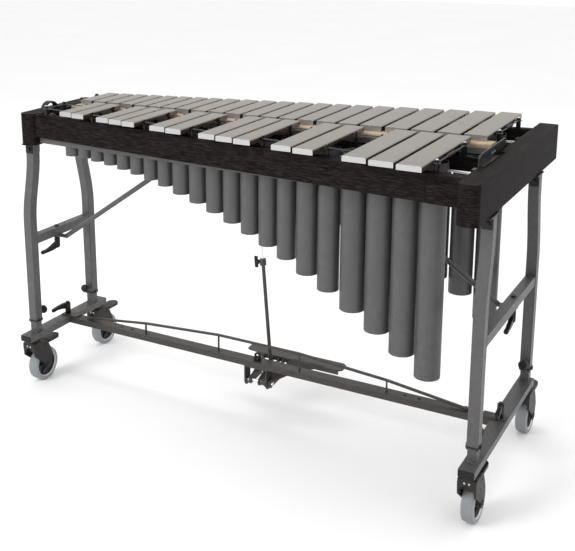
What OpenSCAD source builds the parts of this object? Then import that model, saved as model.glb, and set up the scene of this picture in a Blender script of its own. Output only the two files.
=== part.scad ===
// Three-octave vibraphone on a height-adjustable wheeled frame.
// Origin: the floor point under the middle of the instrument.
// +X points to the low notes, -Y to the accidental (audience) side, +Z up. Millimetres.

/* [Tone bars] */
// Width of the five widest natural bars
bar_w_low = 57; // [50:0.5:60]
// Width of the next bars, D4 and E4
bar_w_mid = 50.5; // [46:0.5:54]
// Width of the bars F4 to E5
bar_w_high = 45.5; // [42:0.5:48]
// Width of the narrowest bars, F5 to F6
bar_w_top = 39.5; // [36:0.5:42]
// Thickness of every bar
bar_t = 13; // [10:0.5:13]
// Height of the bar tops above the floor at the lowest setting
bar_top = 848; // [840:1:860]
// Bar width times this number is the distance to the next bar
pitch_ratio = 1.153; // [1.14:0.001:1.16]

/* [Resonators] */
// Visible length of the longest accidental resonator
front_tube_long = 522; // [440:1:540]
// Visible length of the shortest resonators
tube_short = 113; // [100:1:130]
// Length of the lowest natural resonator
back_tube_lowest = 496; // [480:1:510]
// Length on which the other natural resonators are graded
back_tube_long = 470; // [440:1:490]
// Wall thickness of the resonator tubes
tube_wall = 1.5; // [1:0.1:2]

/* [Frame] */
// Length over the outer faces of the two end boards
length_over_boards = 1370; // [1360:1:1380]
// Thickness of an end board
board_t = 49; // [45:1:50]
// Height of an end board
board_h = 91; // [85:1:100]
// Height of the front rail
rail_h = 67; // [60:1:70]
// Outer width of the square leg tube
leg_w = 27; // [26:0.5:28]
// Height range of the telescoping legs
height_range = 150; // [50:5:150]

/* [Base] */
// Height of the underside of the foot bars
foot_z = 142; // [142:1:150]
// Width of a foot bar
foot_w = 38; // [34:1:40]
// Height of a foot bar and of the long crossbar
foot_h = 18; // [16:1:20]
// Diameter of the caster wheels
wheel_d = 100; // [96:1:100]
// Distance from a caster's swivel axis to its wheel axle
trail = 38; // [34:1:40]

/* [Damper and pedal] */
// How far the damper drops when the pedal is down
damper_drop = 9; // [6:0.5:10]
// Width of the pedal plate
pedal_w = 300; // [260:5:320]

/* [Hidden] */

// Tone bar rows. Every line below is the Y of a straight edge at a given X.
natural_count = 22;
first_right_edge = 595;
row_gap = 20;
function natural_near(x) = -25 + 0.059 * x;
function natural_far(x) = 197.7 + 0.221 * x;
function accidental_near(x) = -289 - 0.119 * x;
function accidental_far(x) = natural_near(x) - row_gap;

// The cord passes a bar at its nodal points, 22.4 % of its length from each end.
nodal = 0.224;
function natural_node_near(x) = natural_near(x) * (1 - nodal) + natural_far(x) * nodal;
function natural_node_far(x) = natural_near(x) * nodal + natural_far(x) * (1 - nodal);
function accidental_node_near(x) = accidental_near(x) * (1 - nodal) + accidental_far(x) * nodal;
function accidental_node_far(x) = accidental_near(x) * nodal + accidental_far(x) * (1 - nodal);

function bar_w(i) = i < 5 ? bar_w_low : i < 7 ? bar_w_mid : i < 14 ? bar_w_high : bar_w_top;
function right_edge(i) = i == 0 ? first_right_edge : right_edge(i - 1) - bar_w(i - 1) * pitch_ratio;
function natural_x(i) = right_edge(i) - bar_w(i) / 2;
// The middle of the gap between natural i and natural i + 1.
function gap_x(i) = (right_edge(i) - bar_w(i) + right_edge(i + 1)) / 2;
// Gaps 3, 6, 10, 13, 17 and 20 lie between B and C or E and F: no black note there.
no_accidental = [3, 6, 10, 13, 17, 20];
function has_accidental(i) = len([for (k = no_accidental) if (k == i) k]) == 0;

bar_bottom = bar_top - bar_t;
bar_round = 3;
// The arch under a bar: its share of the bar's length and its depth.
arch_share = 0.42;
arch_depth = 4;
cord_z = bar_top - bar_t / 2;
cord_r = 1.5;
cord_hole_r = 2.5;
cord_hole_z = cord_z - (cord_hole_r - cord_r);

// End boards and rails.
half_length = length_over_boards / 2;
inner_x = half_length - board_t;
board_top = bar_top - 26;
board_z = board_top - board_h;
board_front_round = 16;
right_board = [-353, 353];
left_board = [-199, 97];
rail_z = board_top - rail_h;
rail_t = 24;
centre_rail_t = 14;
centre_rail_h = 34;
centre_rail_top = board_top - 6;
centre_rail_bottom = centre_rail_top - centre_rail_h;
function rail_front(x) = -246.5 - 0.0926 * x;

// End frames: the legs stand under the boards and bend outward halfway down.
leg_x = 676;
leg_wall = 2;
leg_bend = 28;
bend_top = 701;
bend_low = 500;
leg_top = board_z - 4;
leg_bottom = foot_z + foot_h + 30;
right_legs = [-262, 196];
left_legs = [-187, 77];
mid_bar_top = 456;
mid_bar_h = 25;
brace_y_right = 17;
brace_y_left = -75;
brace_rise = 0.69;

// Base.
foot_top = foot_z + foot_h;
right_foot = [-313, 215];
left_foot = [-234, 124];
crossbar_y = -42;
crossbar_w = 32;
crossbar_end = leg_x - foot_w / 2;
stub_w = leg_w - 2 * leg_wall - 0.6;
stub_top = foot_top + height_range + 84;
stem_inset = 30;
stem_r = 6;
running_fit = 0.05;
body_gap = 0.3;
truss_x = [590, 380, 128];
truss_rise = [4, 30, 47];
truss_r = 3;
hole_x = 450;
hole_pitch = 38;

// Casters.
wheel_r = wheel_d / 2;
wheel_w = 32;
wheel_axle_r = 4;
fork_top = foot_z - 6 - body_gap;
fork_gap = 17.5;
fork_plate = 4.5;
brake_y = 26;
brake_z = 117;
right_stems = [right_foot[0] + stem_inset, right_foot[1] - stem_inset];
left_stems = [left_foot[0] + stem_inset, left_foot[1] - stem_inset];

// Clamp levers and knobs.
lever_r = 7;
lever_reach = 54;
knob_z = leg_bottom + 26;

// Pedal, rod and damper.
axle_z = 97;
axle_r = 4;
plate_x = [-37, 30];
plate_t = 4;
pedal_y = [36, 84];
pedal_z = 141;
pedal_x = [-83, -83 + pedal_w];
hub_r = 9;
hub_x = 4;
ear_x = 38;
// The pull rod leans: its foot, its direction, and its position at a given height.
rod_foot = [15.8, 7.1, 100];
rod_dir = [-31, -42, 682];
function rod_at(z) = rod_foot + rod_dir * (z - rod_foot[2]) / rod_dir[2];
rod_r = 5;
rod_upper_r = 3;
rod_tube_top = 446;
rod_eye_r = 8;
rod_pin_r = 2.5;
arm_t = 4;
arm_gap = 8;
left_arm_x = -24;
// The pin needs this much play because it slides straight while the pedal swings.
pin_play = 1.3;
function damper_y(x) = natural_near(x) - row_gap / 2;
felt_w = 46;
felt_h = 12;
damper_bar_h = 14;
damper_bar_w = 40;
damper_z = bar_bottom - body_gap - felt_h - damper_bar_h;

// Fans.
tube_top = bar_top - 27;
tube_gap = 3.5;
shaft_z = tube_top - 18;
shaft_r = 3;
fan_t = 1.2;
fan_gap = 2.5;
shaft_ends = [-626, 626];
pulley_r = 16;
pulley_w = 7;
// The middles of the grooves, on the fan shafts and on the motor's shaft.
front_pulley_x = -604.5;
back_pulley_x = -601;
motor_groove_x = [-604.5, -596.6];
motor_pulley_r = 10;
motor_y = -60;
motor_z = 745;
motor_r = 24;
motor_x = [-590, -560];
function tube_d(w) = w * pitch_ratio - tube_gap;
function front_tube_y(x) = (accidental_near(x) + accidental_far(x)) / 2;
function back_tube_y(x) = (natural_near(x) + natural_far(x)) / 2;
function tube_len(x, x_low, x_high, longest) =
    tube_short + (longest - tube_short) * pow((x - x_high) / (x_low - x_high), 1.85);
function front_tube_len(i) =
    tube_len(gap_x(i), gap_x(0), gap_x(natural_count - 2), front_tube_long);
function back_tube_len(i) =
    i == 0 ? back_tube_lowest
        : tube_len(natural_x(i), natural_x(0), natural_x(natural_count - 1), back_tube_long);
front_shaft_slope = atan((front_tube_y(600) - front_tube_y(-600)) / 1200);
back_shaft_slope = atan((back_tube_y(600) - back_tube_y(-600)) / 1200);

// Semitones above F3 of each natural, and the stopper depth that tunes its resonator.
natural_steps = [0, 2, 4, 6, 7, 9, 11];
function semitone(i) = 12 * floor(i / 7) + natural_steps[i % 7];
f3_hz = 174.61;
speed_of_sound = 343000;
function quarter_wave(step) = speed_of_sound / (4 * f3_hz * pow(2, step / 12));

// A long straight piece between two X positions that follows a sloping line in plan.
module along(line, x0, x1, y0, y1, z0, z1) {
    translate([0, 0, z0])
        linear_extrude(z1 - z0)
            polygon([[x0, line(x0) + y0], [x1, line(x1) + y0], [x1, line(x1) + y1], [x0, line(x0) + y1]]);
}

// A straight rod from point a to point b.
module rod(a, b, r, sides = 24) {
    d = b - a;
    flat = norm([d[0], d[1]]);
    translate(a)
        rotate([0, atan2(flat, d[2]), atan2(d[1], d[0])])
            cylinder(h = norm(d), r = r, $fn = sides);
}

// A square tube along Y with open ends.
module box_tube_y(x, y0, y1, z, w, wall) {
    translate([x - w / 2, y0, z])
        difference() {
            cube([w, y1 - y0, w]);
            translate([wall, -1, wall])
                cube([w - 2 * wall, y1 - y0 + 2, w - 2 * wall]);
        }
}

// ---------------------------------------------------------------- tone bars

// One bar: rounded long edges, rounded ends in plan and the arch cut under its middle.
module tone_bar(x, y0, y1, w) {
    arch = (y1 - y0) * arch_share;
    arch_r = arch * arch / (8 * arch_depth);
    difference() {
        translate([x, y0, bar_bottom])
            rotate([-90, 0, 0])
                linear_extrude(y1 - y0)
                    bar_section(w);
        translate([x - w, (y0 + y1) / 2, bar_bottom - arch_r + arch_depth])
            rotate([0, 90, 0])
                cylinder(h = 2 * w, r = arch_r, $fn = 720);
    }
}

module bar_section(w) {
    r = bar_round;
    polygon([
        [-w / 2 + 1, 0], [w / 2 - 1, 0], [w / 2, -1],
        for (a = [0:22.5:90]) [w / 2 - r + r * cos(a), -bar_t + r - r * sin(a)],
        for (a = [90:22.5:180]) [-w / 2 + r + r * cos(a), -bar_t + r - r * sin(a)],
        [-w / 2, -1]
    ]);
}

// The hole for the cord through a row of bars: its top lies on the cord.
module cord_hole(line) {
    rod([-600, line(-600), cord_hole_z], [620, line(620), cord_hole_z], cord_hole_r);
}

module natural_bars(first, last) {
    difference() {
        for (i = [first:last])
            tone_bar(natural_x(i), natural_near(natural_x(i)), natural_far(natural_x(i)), bar_w(i));
        cord_hole(function(x) natural_node_near(x));
        cord_hole(function(x) natural_node_far(x));
    }
}

module accidental_bars(first, last) {
    difference() {
        for (i = [first:last])
            if (has_accidental(i))
                tone_bar(gap_x(i), accidental_near(gap_x(i)), accidental_far(gap_x(i)), bar_w(i + 1));
        cord_hole(function(x) accidental_node_near(x));
        cord_hole(function(x) accidental_node_far(x));
    }
}

module natural_bars_low() { color("#b5aea2") natural_bars(0, 6); }
module natural_bars_high() { color("#b5aea2") natural_bars(7, natural_count - 1); }
module accidental_bars_low() { color("#b5aea2") accidental_bars(0, 6); }
module accidental_bars_high() { color("#b5aea2") accidental_bars(7, natural_count - 2); }

// ---------------------------------------------------------------- wooden frame

// A board on edge with rounded front corners, from y0 (front) to y1, and a notch in
// its inner top edge between the two values of notch.
module end_board(side, y0, y1, notch) {
    r = board_front_round;
    difference() {
        translate([side * (inner_x + board_t / 2), 0, board_z])
            linear_extrude(board_h)
                polygon([
                    for (a = [180:15:270]) [-board_t / 2 + r + r * cos(a), y0 + r + r * sin(a)],
                    for (a = [270:15:360]) [board_t / 2 - r + r * cos(a), y0 + r + r * sin(a)],
                    [board_t / 2, y1 - 3], [board_t / 2 - 3, y1],
                    [-board_t / 2 + 3, y1], [-board_t / 2, y1 - 3]
                ]);
        translate([side * inner_x - 14, notch[0], board_top - notch_h])
            cube([28, notch[1] - notch[0], 20]);
    }
}

module end_boards() {
    color("#1d1b1c") {
        end_board(1, right_board[0], right_board[1], [-192, -30]);
        end_board(-1, left_board[0], left_board[1], [-100, -40]);
    }
}

joint_line = 0.3;
block_left = -572;
block_right = 552;

// The front rail: a long middle and a glued block at each end.
module front_rail() {
    left_block = [-inner_x, block_left - joint_line];
    right_block = [block_right + joint_line, inner_x];
    color("#1d1b1c")
        for (part = [left_block, [block_left, block_right], right_block])
            along(function(x) rail_front(x), part[0], part[1], 0, rail_t, rail_z, board_top);
}

module rear_rail() {
    color("#1d1b1c")
        along(function(x) natural_node_far(x), -inner_x, inner_x,
            -rail_t / 2, rail_t / 2, rail_z, board_top);
}

belt_notch = [-612, -586];
belt_notch_top = 801;
module centre_rail(line) {
    half = centre_rail_t / 2;
    along(line, -inner_x, inner_x, -half, half, centre_rail_bottom, centre_rail_top);
}

module centre_rails() {
    color("#1d1b1c")
        difference() {
            union() {
                centre_rail(function(x) accidental_node_far(x));
                centre_rail(function(x) natural_node_near(x));
            }
            // The belts pass through this notch.
            translate([belt_notch[0], -200, centre_rail_bottom - 1])
                cube([belt_notch[1] - belt_notch[0], 300, belt_notch_top - centre_rail_bottom + 1]);
        }
}

// A forked post: a round foot on the rail, a saddle under the cord and a prong on both sides of it.
post_r = 4.5;
prong = [3, 1.6];
prong_gap = 2;
module post(x, y, z) {
    translate([x, y, z])
        cylinder(h = bar_bottom - 2 - z, r = post_r, $fn = 24);
    translate([x - prong[0] / 2, y - prong_gap, bar_bottom - 2])
        cube([prong[0], 2 * prong_gap, cord_z - cord_r - bar_bottom + 2]);
    for (side = [-1, 1])
        translate([x - prong[0] / 2, y + side * (prong_gap + prong[1] / 2) - prong[1] / 2, bar_bottom - 2])
            cube([prong[0], prong[1], bar_t + 2]);
}

// The drum at the end of a cord run. The accidental row ends sooner at the right.
drum_r = 6;
drum_left = -592;
natural_drum_right = 603;
accidental_drum_right = 570;
module drum(x, y, z) {
    translate([x, y, z])
        cylinder(h = cord_z + 5 - z, r = drum_r, $fn = 32);
    translate([x, y, cord_z + 5])
        cylinder(h = 2, r = drum_r - 2, $fn = 24);
}

function post_beside(i) = i > 0 && (has_accidental(i) || has_accidental(i - 1));

module bar_posts() {
    color("#151515") {
        for (i = [0:natural_count - 2]) {
            post(gap_x(i), natural_node_near(gap_x(i)), centre_rail_top);
            post(gap_x(i), natural_node_far(gap_x(i)), board_top);
        }
        for (i = [0:natural_count - 2])
            if (post_beside(i)) {
                post(natural_x(i), accidental_node_near(natural_x(i)), board_top);
                post(natural_x(i), accidental_node_far(natural_x(i)), centre_rail_top);
            }
        for (x = [drum_left, natural_drum_right]) {
            drum(x, natural_node_near(x), centre_rail_top);
            drum(x, natural_node_far(x), board_top);
        }
        for (x = [drum_left, accidental_drum_right]) {
            drum(x, accidental_node_near(x), board_top);
            drum(x, accidental_node_far(x), centre_rail_top);
        }
    }
}

// Each row has one looped cord: two runs through the bars, a crossing at the left
// and a tension spring between the drums at the right.
cord_gap = drum_r + 0.1;
spring_half = 24;
spring_rings = 17;
module cord_run(line, x_right) {
    x0 = drum_left + cord_gap;
    x1 = x_right - cord_gap;
    rod([x0, line(x0), cord_z], [x1, line(x1), cord_z], cord_r);
}

module cord_across(x, y0, y1) {
    rod([x, y0, cord_z], [x, y1, cord_z], cord_r);
}

module cord_ends(near, far, x_right) {
    middle = (near(x_right) + far(x_right)) / 2;
    cord_across(drum_left, near(drum_left) + cord_gap, far(drum_left) - cord_gap);
    cord_across(x_right, near(x_right) + cord_gap, middle - spring_half);
    cord_across(x_right, middle + spring_half, far(x_right) - cord_gap);
}

module looped_cord(near, far, x_right) {
    cord_run(near, x_right);
    cord_run(far, x_right);
    cord_ends(near, far, x_right);
}

module suspension_cord() {
    color("#101010") {
        looped_cord(
            function(x) natural_node_near(x), function(x) natural_node_far(x), natural_drum_right
        );
        looped_cord(
            function(x) accidental_node_near(x), function(x) accidental_node_far(x), accidental_drum_right
        );
    }
}

// The tension spring between the two ends of a cord, as close-set rings.
module tension_spring(x, middle) {
    step = (2 * spring_half - 4) / (spring_rings - 1);
    for (k = [0:spring_rings - 1])
        translate([x, middle - spring_half + 2 + k * step, cord_z])
            rotate([90, 0, 0])
                rotate_extrude($fn = 32)
                    translate([3.2, 0])
                        circle(r = 1, $fn = 16);
}

module cord_springs() {
    xn = natural_drum_right;
    xa = accidental_drum_right;
    color("#202020") {
        tension_spring(xn, (natural_node_near(xn) + natural_node_far(xn)) / 2);
        tension_spring(xa, (accidental_node_near(xa) + accidental_node_far(xa)) / 2);
    }
}

// ---------------------------------------------------------------- resonators and fans

// An open tube with a hole through both walls for the fan shaft.
module tube(x, y, len, w, slope) {
    translate([x, y, tube_top - len])
        difference() {
            cylinder(h = len, d = tube_d(w), $fn = 64);
            translate([0, 0, -1])
                cylinder(h = len + 2, d = tube_d(w) - 2 * tube_wall, $fn = 64);
            translate([0, 0, len + shaft_z - tube_top])
                rotate([0, 90, slope])
                    translate([0, 0, -tube_d(w)])
                        cylinder(h = 2 * tube_d(w), r = shaft_r + 1.5, $fn = 32);
        }
}

module natural_resonators() {
    color("#4b4b4d")
        for (i = [0:natural_count - 1])
            tube(natural_x(i), back_tube_y(natural_x(i)), back_tube_len(i), bar_w(i), back_shaft_slope);
}

module accidental_resonators() {
    color("#4b4b4d")
        for (i = [0:natural_count - 2])
            tube(gap_x(i), front_tube_y(gap_x(i)), front_tube_len(i), bar_w(i + 1), front_shaft_slope);
}

// Closed plugs at the sounding depth of each real resonator.
stopper_t = 5;
module stopper(x, y, w, depth) {
    translate([x, y, tube_top - depth - stopper_t])
        cylinder(h = stopper_t, d = tube_d(w) - 2 * tube_wall, $fn = 64);
}

module resonator_stoppers() {
    color("#3a3a3c") {
        for (i = [0:natural_count - 1])
            stopper(natural_x(i), back_tube_y(natural_x(i)), bar_w(i),
                min(quarter_wave(semitone(i)), back_tube_len(i) - 12));
        for (i = [0:natural_count - 2])
            if (has_accidental(i))
                stopper(gap_x(i), front_tube_y(gap_x(i)), bar_w(i + 1),
                    min(quarter_wave(semitone(i) + 1), front_tube_len(i) - 12));
    }
}

// Flat strips on both sides of each row of tubes.
strip_t = 2;
strip_h = 16;
strip_z = rail_z - strip_h - 3;
function front_strip(x, side) = front_tube_y(x) + side * (21.1 + (x + 533) / 1066 * 10);
function back_strip(x, side) = back_tube_y(x) + side * (21.1 + (x + 555) / 1120 * 10);
strip_gap = 2.6;
module resonator_rails() {
    color("#4b4b4d")
        for (side = [-1, 1]) {
            along(function(x) front_strip(x, side), -inner_x + 1, inner_x - 1,
                side > 0 ? strip_gap : -strip_gap - strip_t, side > 0 ? strip_gap + strip_t : -strip_gap,
                strip_z, strip_z + strip_h);
            along(function(x) back_strip(x, side), -inner_x + 1, inner_x - 1,
                side > 0 ? strip_gap : -strip_gap - strip_t, side > 0 ? strip_gap + strip_t : -strip_gap,
                strip_z, strip_z + strip_h);
        }
}

// A grooved pulley along Z.
module pulley(r) {
    rotate_extrude($fn = 64)
        polygon([
            [0, 0], [r + 1, 0], [r + 1, 0.5], [r - 2, 1], [r - 2, pulley_w - 1], [r + 1, pulley_w - 0.5],
            [r + 1, pulley_w], [0, pulley_w]
        ]);
}

// A shaft that follows a row of tubes, with one disc in each tube and a pulley at its left end.
module fan_shaft(line, slope, xs, ws, wheel_x) {
    translate([0, line(0), shaft_z])
        rotate([0, 0, slope])
            rotate([0, 90, 0]) {
                translate([0, 0, shaft_ends[0]])
                    cylinder(h = shaft_ends[1] - shaft_ends[0], r = shaft_r, $fn = 32);
                translate([0, 0, wheel_x / cos(slope) - pulley_w / 2])
                    pulley(pulley_r);
            }
    for (k = [0:len(xs) - 1])
        translate([xs[k], line(xs[k]), shaft_z - fan_t / 2])
            cylinder(h = fan_t, r = tube_d(ws[k]) / 2 - tube_wall - fan_gap, $fn = 64);
}

module natural_fan_shaft() {
    all = [0:natural_count - 1];
    color("#8a8d90")
        fan_shaft(function(x) back_tube_y(x), back_shaft_slope,
            [for (i = all) natural_x(i)], [for (i = all) bar_w(i)], back_pulley_x);
}

module accidental_fan_shaft() {
    real = [for (i = [0:natural_count - 2]) if (has_accidental(i)) i];
    color("#8a8d90")
        fan_shaft(function(x) front_tube_y(x), front_shaft_slope,
            [for (i = real) gap_x(i)], [for (i = real) bar_w(i + 1)], front_pulley_x);
}

// A block on the inside of an end board that holds one end of a shaft.
module bearing(side, line, slope) {
    x = side * (inner_x - 8);
    difference() {
        translate([x - 8, line(x) - 11, shaft_z - 11])
            cube([16, 22, 22]);
        translate([0, line(0), shaft_z])
            rotate([0, 90, slope])
                translate([0, 0, side > 0 ? inner_x - 24 : shaft_ends[0] - 0.5])
                    cylinder(h = 14.5, r = shaft_r + running_fit, $fn = 32);
    }
}

module shaft_bearings() {
    color("#202020")
        for (side = [-1, 1]) {
            bearing(side, function(x) front_tube_y(x), front_shaft_slope);
            bearing(side, function(x) back_tube_y(x), back_shaft_slope);
        }
}

// Motor under the centre rails at the high end, with its shaft towards the end board.
motor_shaft_r = 4;
motor_shaft_end = -611;
module motor() {
    color("#262626") {
        translate([motor_x[0], motor_y, motor_z])
            rotate([0, 90, 0])
                cylinder(h = motor_x[1] - motor_x[0] + 26, r = motor_r, $fn = 64);
        translate([motor_x[0] + 4, motor_y - 12, motor_z])
            cube([40, 24, centre_rail_bottom - 3 - motor_z]);
        translate([motor_x[0] + 8, motor_y - 50, centre_rail_bottom - 3])
            cube([30, 86, 3]);
        translate([motor_shaft_end, motor_y, motor_z])
            rotate([0, 90, 0])
                cylinder(h = motor_x[0] + 1 - motor_shaft_end, r = motor_shaft_r, $fn = 32);
    }
}

module motor_pulley() {
    color("#b9a06a")
        translate([motor_groove_x[0] - pulley_w / 2, motor_y, motor_z])
            rotate([0, 90, 0])
                difference() {
                    union() {
                        pulley(motor_pulley_r);
                        translate([0, 0, motor_groove_x[1] - motor_groove_x[0]])
                            pulley(motor_pulley_r);
                        cylinder(h = 2 * pulley_w, r = motor_pulley_r - 3, $fn = 48);
                    }
                    translate([0, 0, -1])
                        cylinder(h = 40, r = motor_shaft_r + running_fit, $fn = 32);
                }
}

// The outline of a belt round two wheels, as the points of its outer or inner edge.
function belt_edge(a, ra, b, rb) =
    let (d = norm(b - a), dir = atan2(b[1] - a[1], b[0] - a[0]), wrap = acos((ra - rb) / d))
    concat(
        [for (t = [wrap:(360 - 2 * wrap) / 16:360 - wrap + 0.01]) a + ra * [cos(dir + t), sin(dir + t)]],
        [for (t = [-wrap:2 * wrap / 12:wrap + 0.01]) b + rb * [cos(dir + t), sin(dir + t)]]
    );

// A belt from groove x0 on a fan shaft to groove x1 on the motor. It leans by their offset.
belt_t = 1.6;
belt_w = 2.4;
belt_clear = 0.4;
module belt(x0, y_shaft, x1) {
    a = [y_shaft, shaft_z];
    b = [motor_y, motor_z];
    ra = pulley_r - 2 + belt_clear;
    rb = motor_pulley_r - 2 + belt_clear;
    translate([x0, y_shaft, 0])
        rotate([0, 0, atan((x1 - x0) / (y_shaft - motor_y))])
            translate([-belt_w / 2, -y_shaft, 0])
                rotate([90, 0, 90])
                    linear_extrude(belt_w)
                        difference() {
                            polygon(belt_edge(a, ra + belt_t, b, rb + belt_t));
                            polygon(belt_edge(a, ra, b, rb));
                        }
}

module drive_belts() {
    color("#111111") {
        belt(front_pulley_x, front_tube_y(front_pulley_x), motor_groove_x[0]);
        belt(back_pulley_x, back_tube_y(back_pulley_x), motor_groove_x[1]);
    }
}

// A black arch over the pulleys, standing on the front rail and the nearest centre rail.
guard_y = -139;
guard_r = 31;
guard_x = -630;
module pulley_guard() {
    color("#141414") {
        translate([guard_x, guard_y, board_top])
            rotate([90, 0, 90])
                linear_extrude(16)
                    difference() {
                        circle(r = guard_r, $fn = 64);
                        circle(r = guard_r - 4, $fn = 64);
                        translate([-50, -100])
                            square(100);
                    }
        translate([guard_x, guard_y - guard_r - 8, board_top])
            cube([16, 12, 3]);
        translate([guard_x, guard_y + guard_r - 4, centre_rail_top])
            cube([16, 4, board_top - centre_rail_top + 1]);
    }
}

// ---------------------------------------------------------------- damper

damper_x = [-584, 614];
guide_left_x = [-619, -616];
guide_right_x = [630, 633];
guide_half = 26;
guide_low = damper_z - 12;
guide_pin_r = 3;
guide_pin_z = damper_z + damper_bar_h / 2;
pin_root = 580;
spring_x = [-500, 500];
spring_r = 6;
spring_wire = 0.9;
spring_turns = 5;
seat_z = centre_rail_bottom;
lug_z = damper_z - 24;
slot_low = [rod_at(lug_z)[0], rod_at(lug_z)[1]];
slot_step = height_range * [rod_dir[0], rod_dir[1]] / rod_dir[2];

module damper_bar() {
    color("#9a9c9e")
        difference() {
            union() {
                along(function(x) damper_y(x), damper_x[0], damper_x[1],
                    -damper_bar_w / 2, damper_bar_w / 2, damper_z, damper_z + damper_bar_h);
                translate([pin_root, damper_y(pin_root), guide_pin_z])
                    rotate([0, 90, 0])
                        cylinder(h = guide_right_x[1] + 1.5 - pin_root, r = guide_pin_r, $fn = 24);
                translate([-pin_root, damper_y(-pin_root), guide_pin_z])
                    rotate([0, -90, 0])
                        cylinder(h = 3 - guide_left_x[0] - pin_root, r = guide_pin_r, $fn = 24);
                // Slotted lug for the head of the rod.
                translate([slot_low[0] - 22, slot_low[1] - 22, lug_z])
                    cube([36, 36, 3]);
                translate([slot_low[0] - 22, slot_low[1] - 22, lug_z])
                    cube([3, 36, 25]);
                translate([slot_low[0] + 11, slot_low[1] - 22, lug_z])
                    cube([3, 36, 25]);
            }
            translate([0, 0, lug_z - 1])
                linear_extrude(5)
                    lug_slot();
        }
}

// The slot in the damper's lug: the rod's head travels along it as the frame is raised.
module lug_slot() {
    r = rod_upper_r + 0.6;
    side = r * [slot_step[1], -slot_step[0]] / norm(slot_step);
    // It starts where the rod crosses the lug with the damper down.
    start = slot_low - damper_drop * slot_step / height_range;
    end = slot_low + slot_step;
    translate(start)
        circle(r = r, $fn = 32);
    translate(end)
        circle(r = r, $fn = 32);
    polygon([start + side, end + side, end - side, start - side]);
}

module damper_felt() {
    color("#b59b78")
        along(function(x) damper_y(x), damper_x[0], damper_x[1], -felt_w / 2, felt_w / 2,
            damper_z + damper_bar_h, damper_z + damper_bar_h + felt_h);
}

// Slotted plates at both ends that keep the damper bar in line, and the spring seats.
// The right plate is longer: its arm lies in the notch of the end board.
module guide_slot(x, y) {
    translate([x, y - guide_pin_r - body_gap, guide_pin_z - guide_pin_r - damper_drop - 1])
        cube([20, 2 * guide_pin_r + 2 * body_gap, damper_drop + 2 * guide_pin_r + 2]);
}

guide_arm = [-184, 26];
notch_h = 5;
module right_guide() {
    y = damper_y(pin_root);
    difference() {
        union() {
            translate([guide_right_x[0], 0, 0])
                rotate([90, 0, 90])
                    linear_extrude(guide_right_x[1] - guide_right_x[0])
                        polygon([
                            [guide_arm[0], board_top - 4], [guide_arm[0] + 4, board_top + 14],
                            [guide_arm[0] + 22, board_top + 22], [guide_arm[1], board_top + 22],
                            [guide_arm[1], guide_low], [y - guide_half, guide_low],
                            [y - guide_half, board_top - 4]
                        ]);
            translate([guide_right_x[0], y - guide_half, guide_low])
                cube([inner_x - guide_right_x[0], 2 * guide_half, 3]);
            translate([guide_right_x[0], guide_arm[0] + 4, board_top - notch_h])
                cube([inner_x + 8 - guide_right_x[0], 120, 3]);
        }
        guide_slot(guide_right_x[0] - 5, y);
        translate([guide_right_x[0] - 5, -92, board_top + 6])
            cube([20, 46, 9]);
    }
}

module left_guide() {
    y = damper_y(-pin_root);
    difference() {
        union() {
            translate([guide_left_x[0], y - guide_half, guide_low])
                cube([guide_left_x[1] - guide_left_x[0], 2 * guide_half, 28]);
            translate([-inner_x, y - guide_half, guide_low])
                cube([inner_x + guide_left_x[1], 2 * guide_half, 3]);
        }
        guide_slot(guide_left_x[0] - 5, y);
    }
}

module damper_guides() {
    color("#2b2a2a") {
        right_guide();
        left_guide();
        for (x = spring_x)
            translate([x - 10, accidental_node_far(x) - 6, seat_z - 3])
                cube([20, natural_node_near(x) - accidental_node_far(x) + 12, 3]);
    }
}

// A coil spring, swept round its helix.
module coil_spring(x, y, z0, z1) {
    steps = spring_turns * 10;
    sides = 6;
    points = [
        for (k = [0:steps])
            for (s = [0:sides - 1])
                let (
                    a = k * 36,
                    r = spring_r + spring_wire * cos(s * 360 / sides),
                    middle = z0 + spring_wire + (z1 - z0 - 2 * spring_wire) * k / steps,
                    z = middle + spring_wire * sin(s * 360 / sides)
                )
                [x + r * cos(a), y + r * sin(a), z]
    ];
    faces = concat(
        [[for (s = [0:sides - 1]) s]],
        [[for (s = [sides - 1:-1:0]) steps * sides + s]],
        [
            for (k = [0:steps - 1])
                for (s = [0:sides - 1])
                    [
                        k * sides + s, (k + 1) * sides + s,
                        (k + 1) * sides + (s + 1) % sides, k * sides + (s + 1) % sides
                    ]
        ]
    );
    polyhedron(points, faces);
}

module damper_springs() {
    color("#c4c4c4")
        for (x = spring_x)
            coil_spring(x, damper_y(x), seat_z + 0.05, damper_z - 0.3);
}

// ---------------------------------------------------------------- end frames

// The outline of one leg seen from the end, with its double bend. t runs from 0 to 1 up the bend.
function bend_y(t) = leg_bend * (1 - cos(180 * t)) / 2;
function bend_z(t) = bend_low + (bend_top - bend_low) * t;
module leg_outline(y, out) {
    h = leg_w / 2;
    polygon([
        [y - h, leg_bottom], [y + h, leg_bottom],
        for (t = [0:0.125:1]) [y + h - out * bend_y(t), bend_z(t)],
        [y + h - out * leg_bend, leg_top], [y - h - out * leg_bend, leg_top],
        for (t = [1:-0.125:0]) [y - h - out * bend_y(t), bend_z(t)]
    ]);
}

top_bolt_z = leg_top - 14;
top_bolt_r = 4;
knob_shaft_r = 3;

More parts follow.
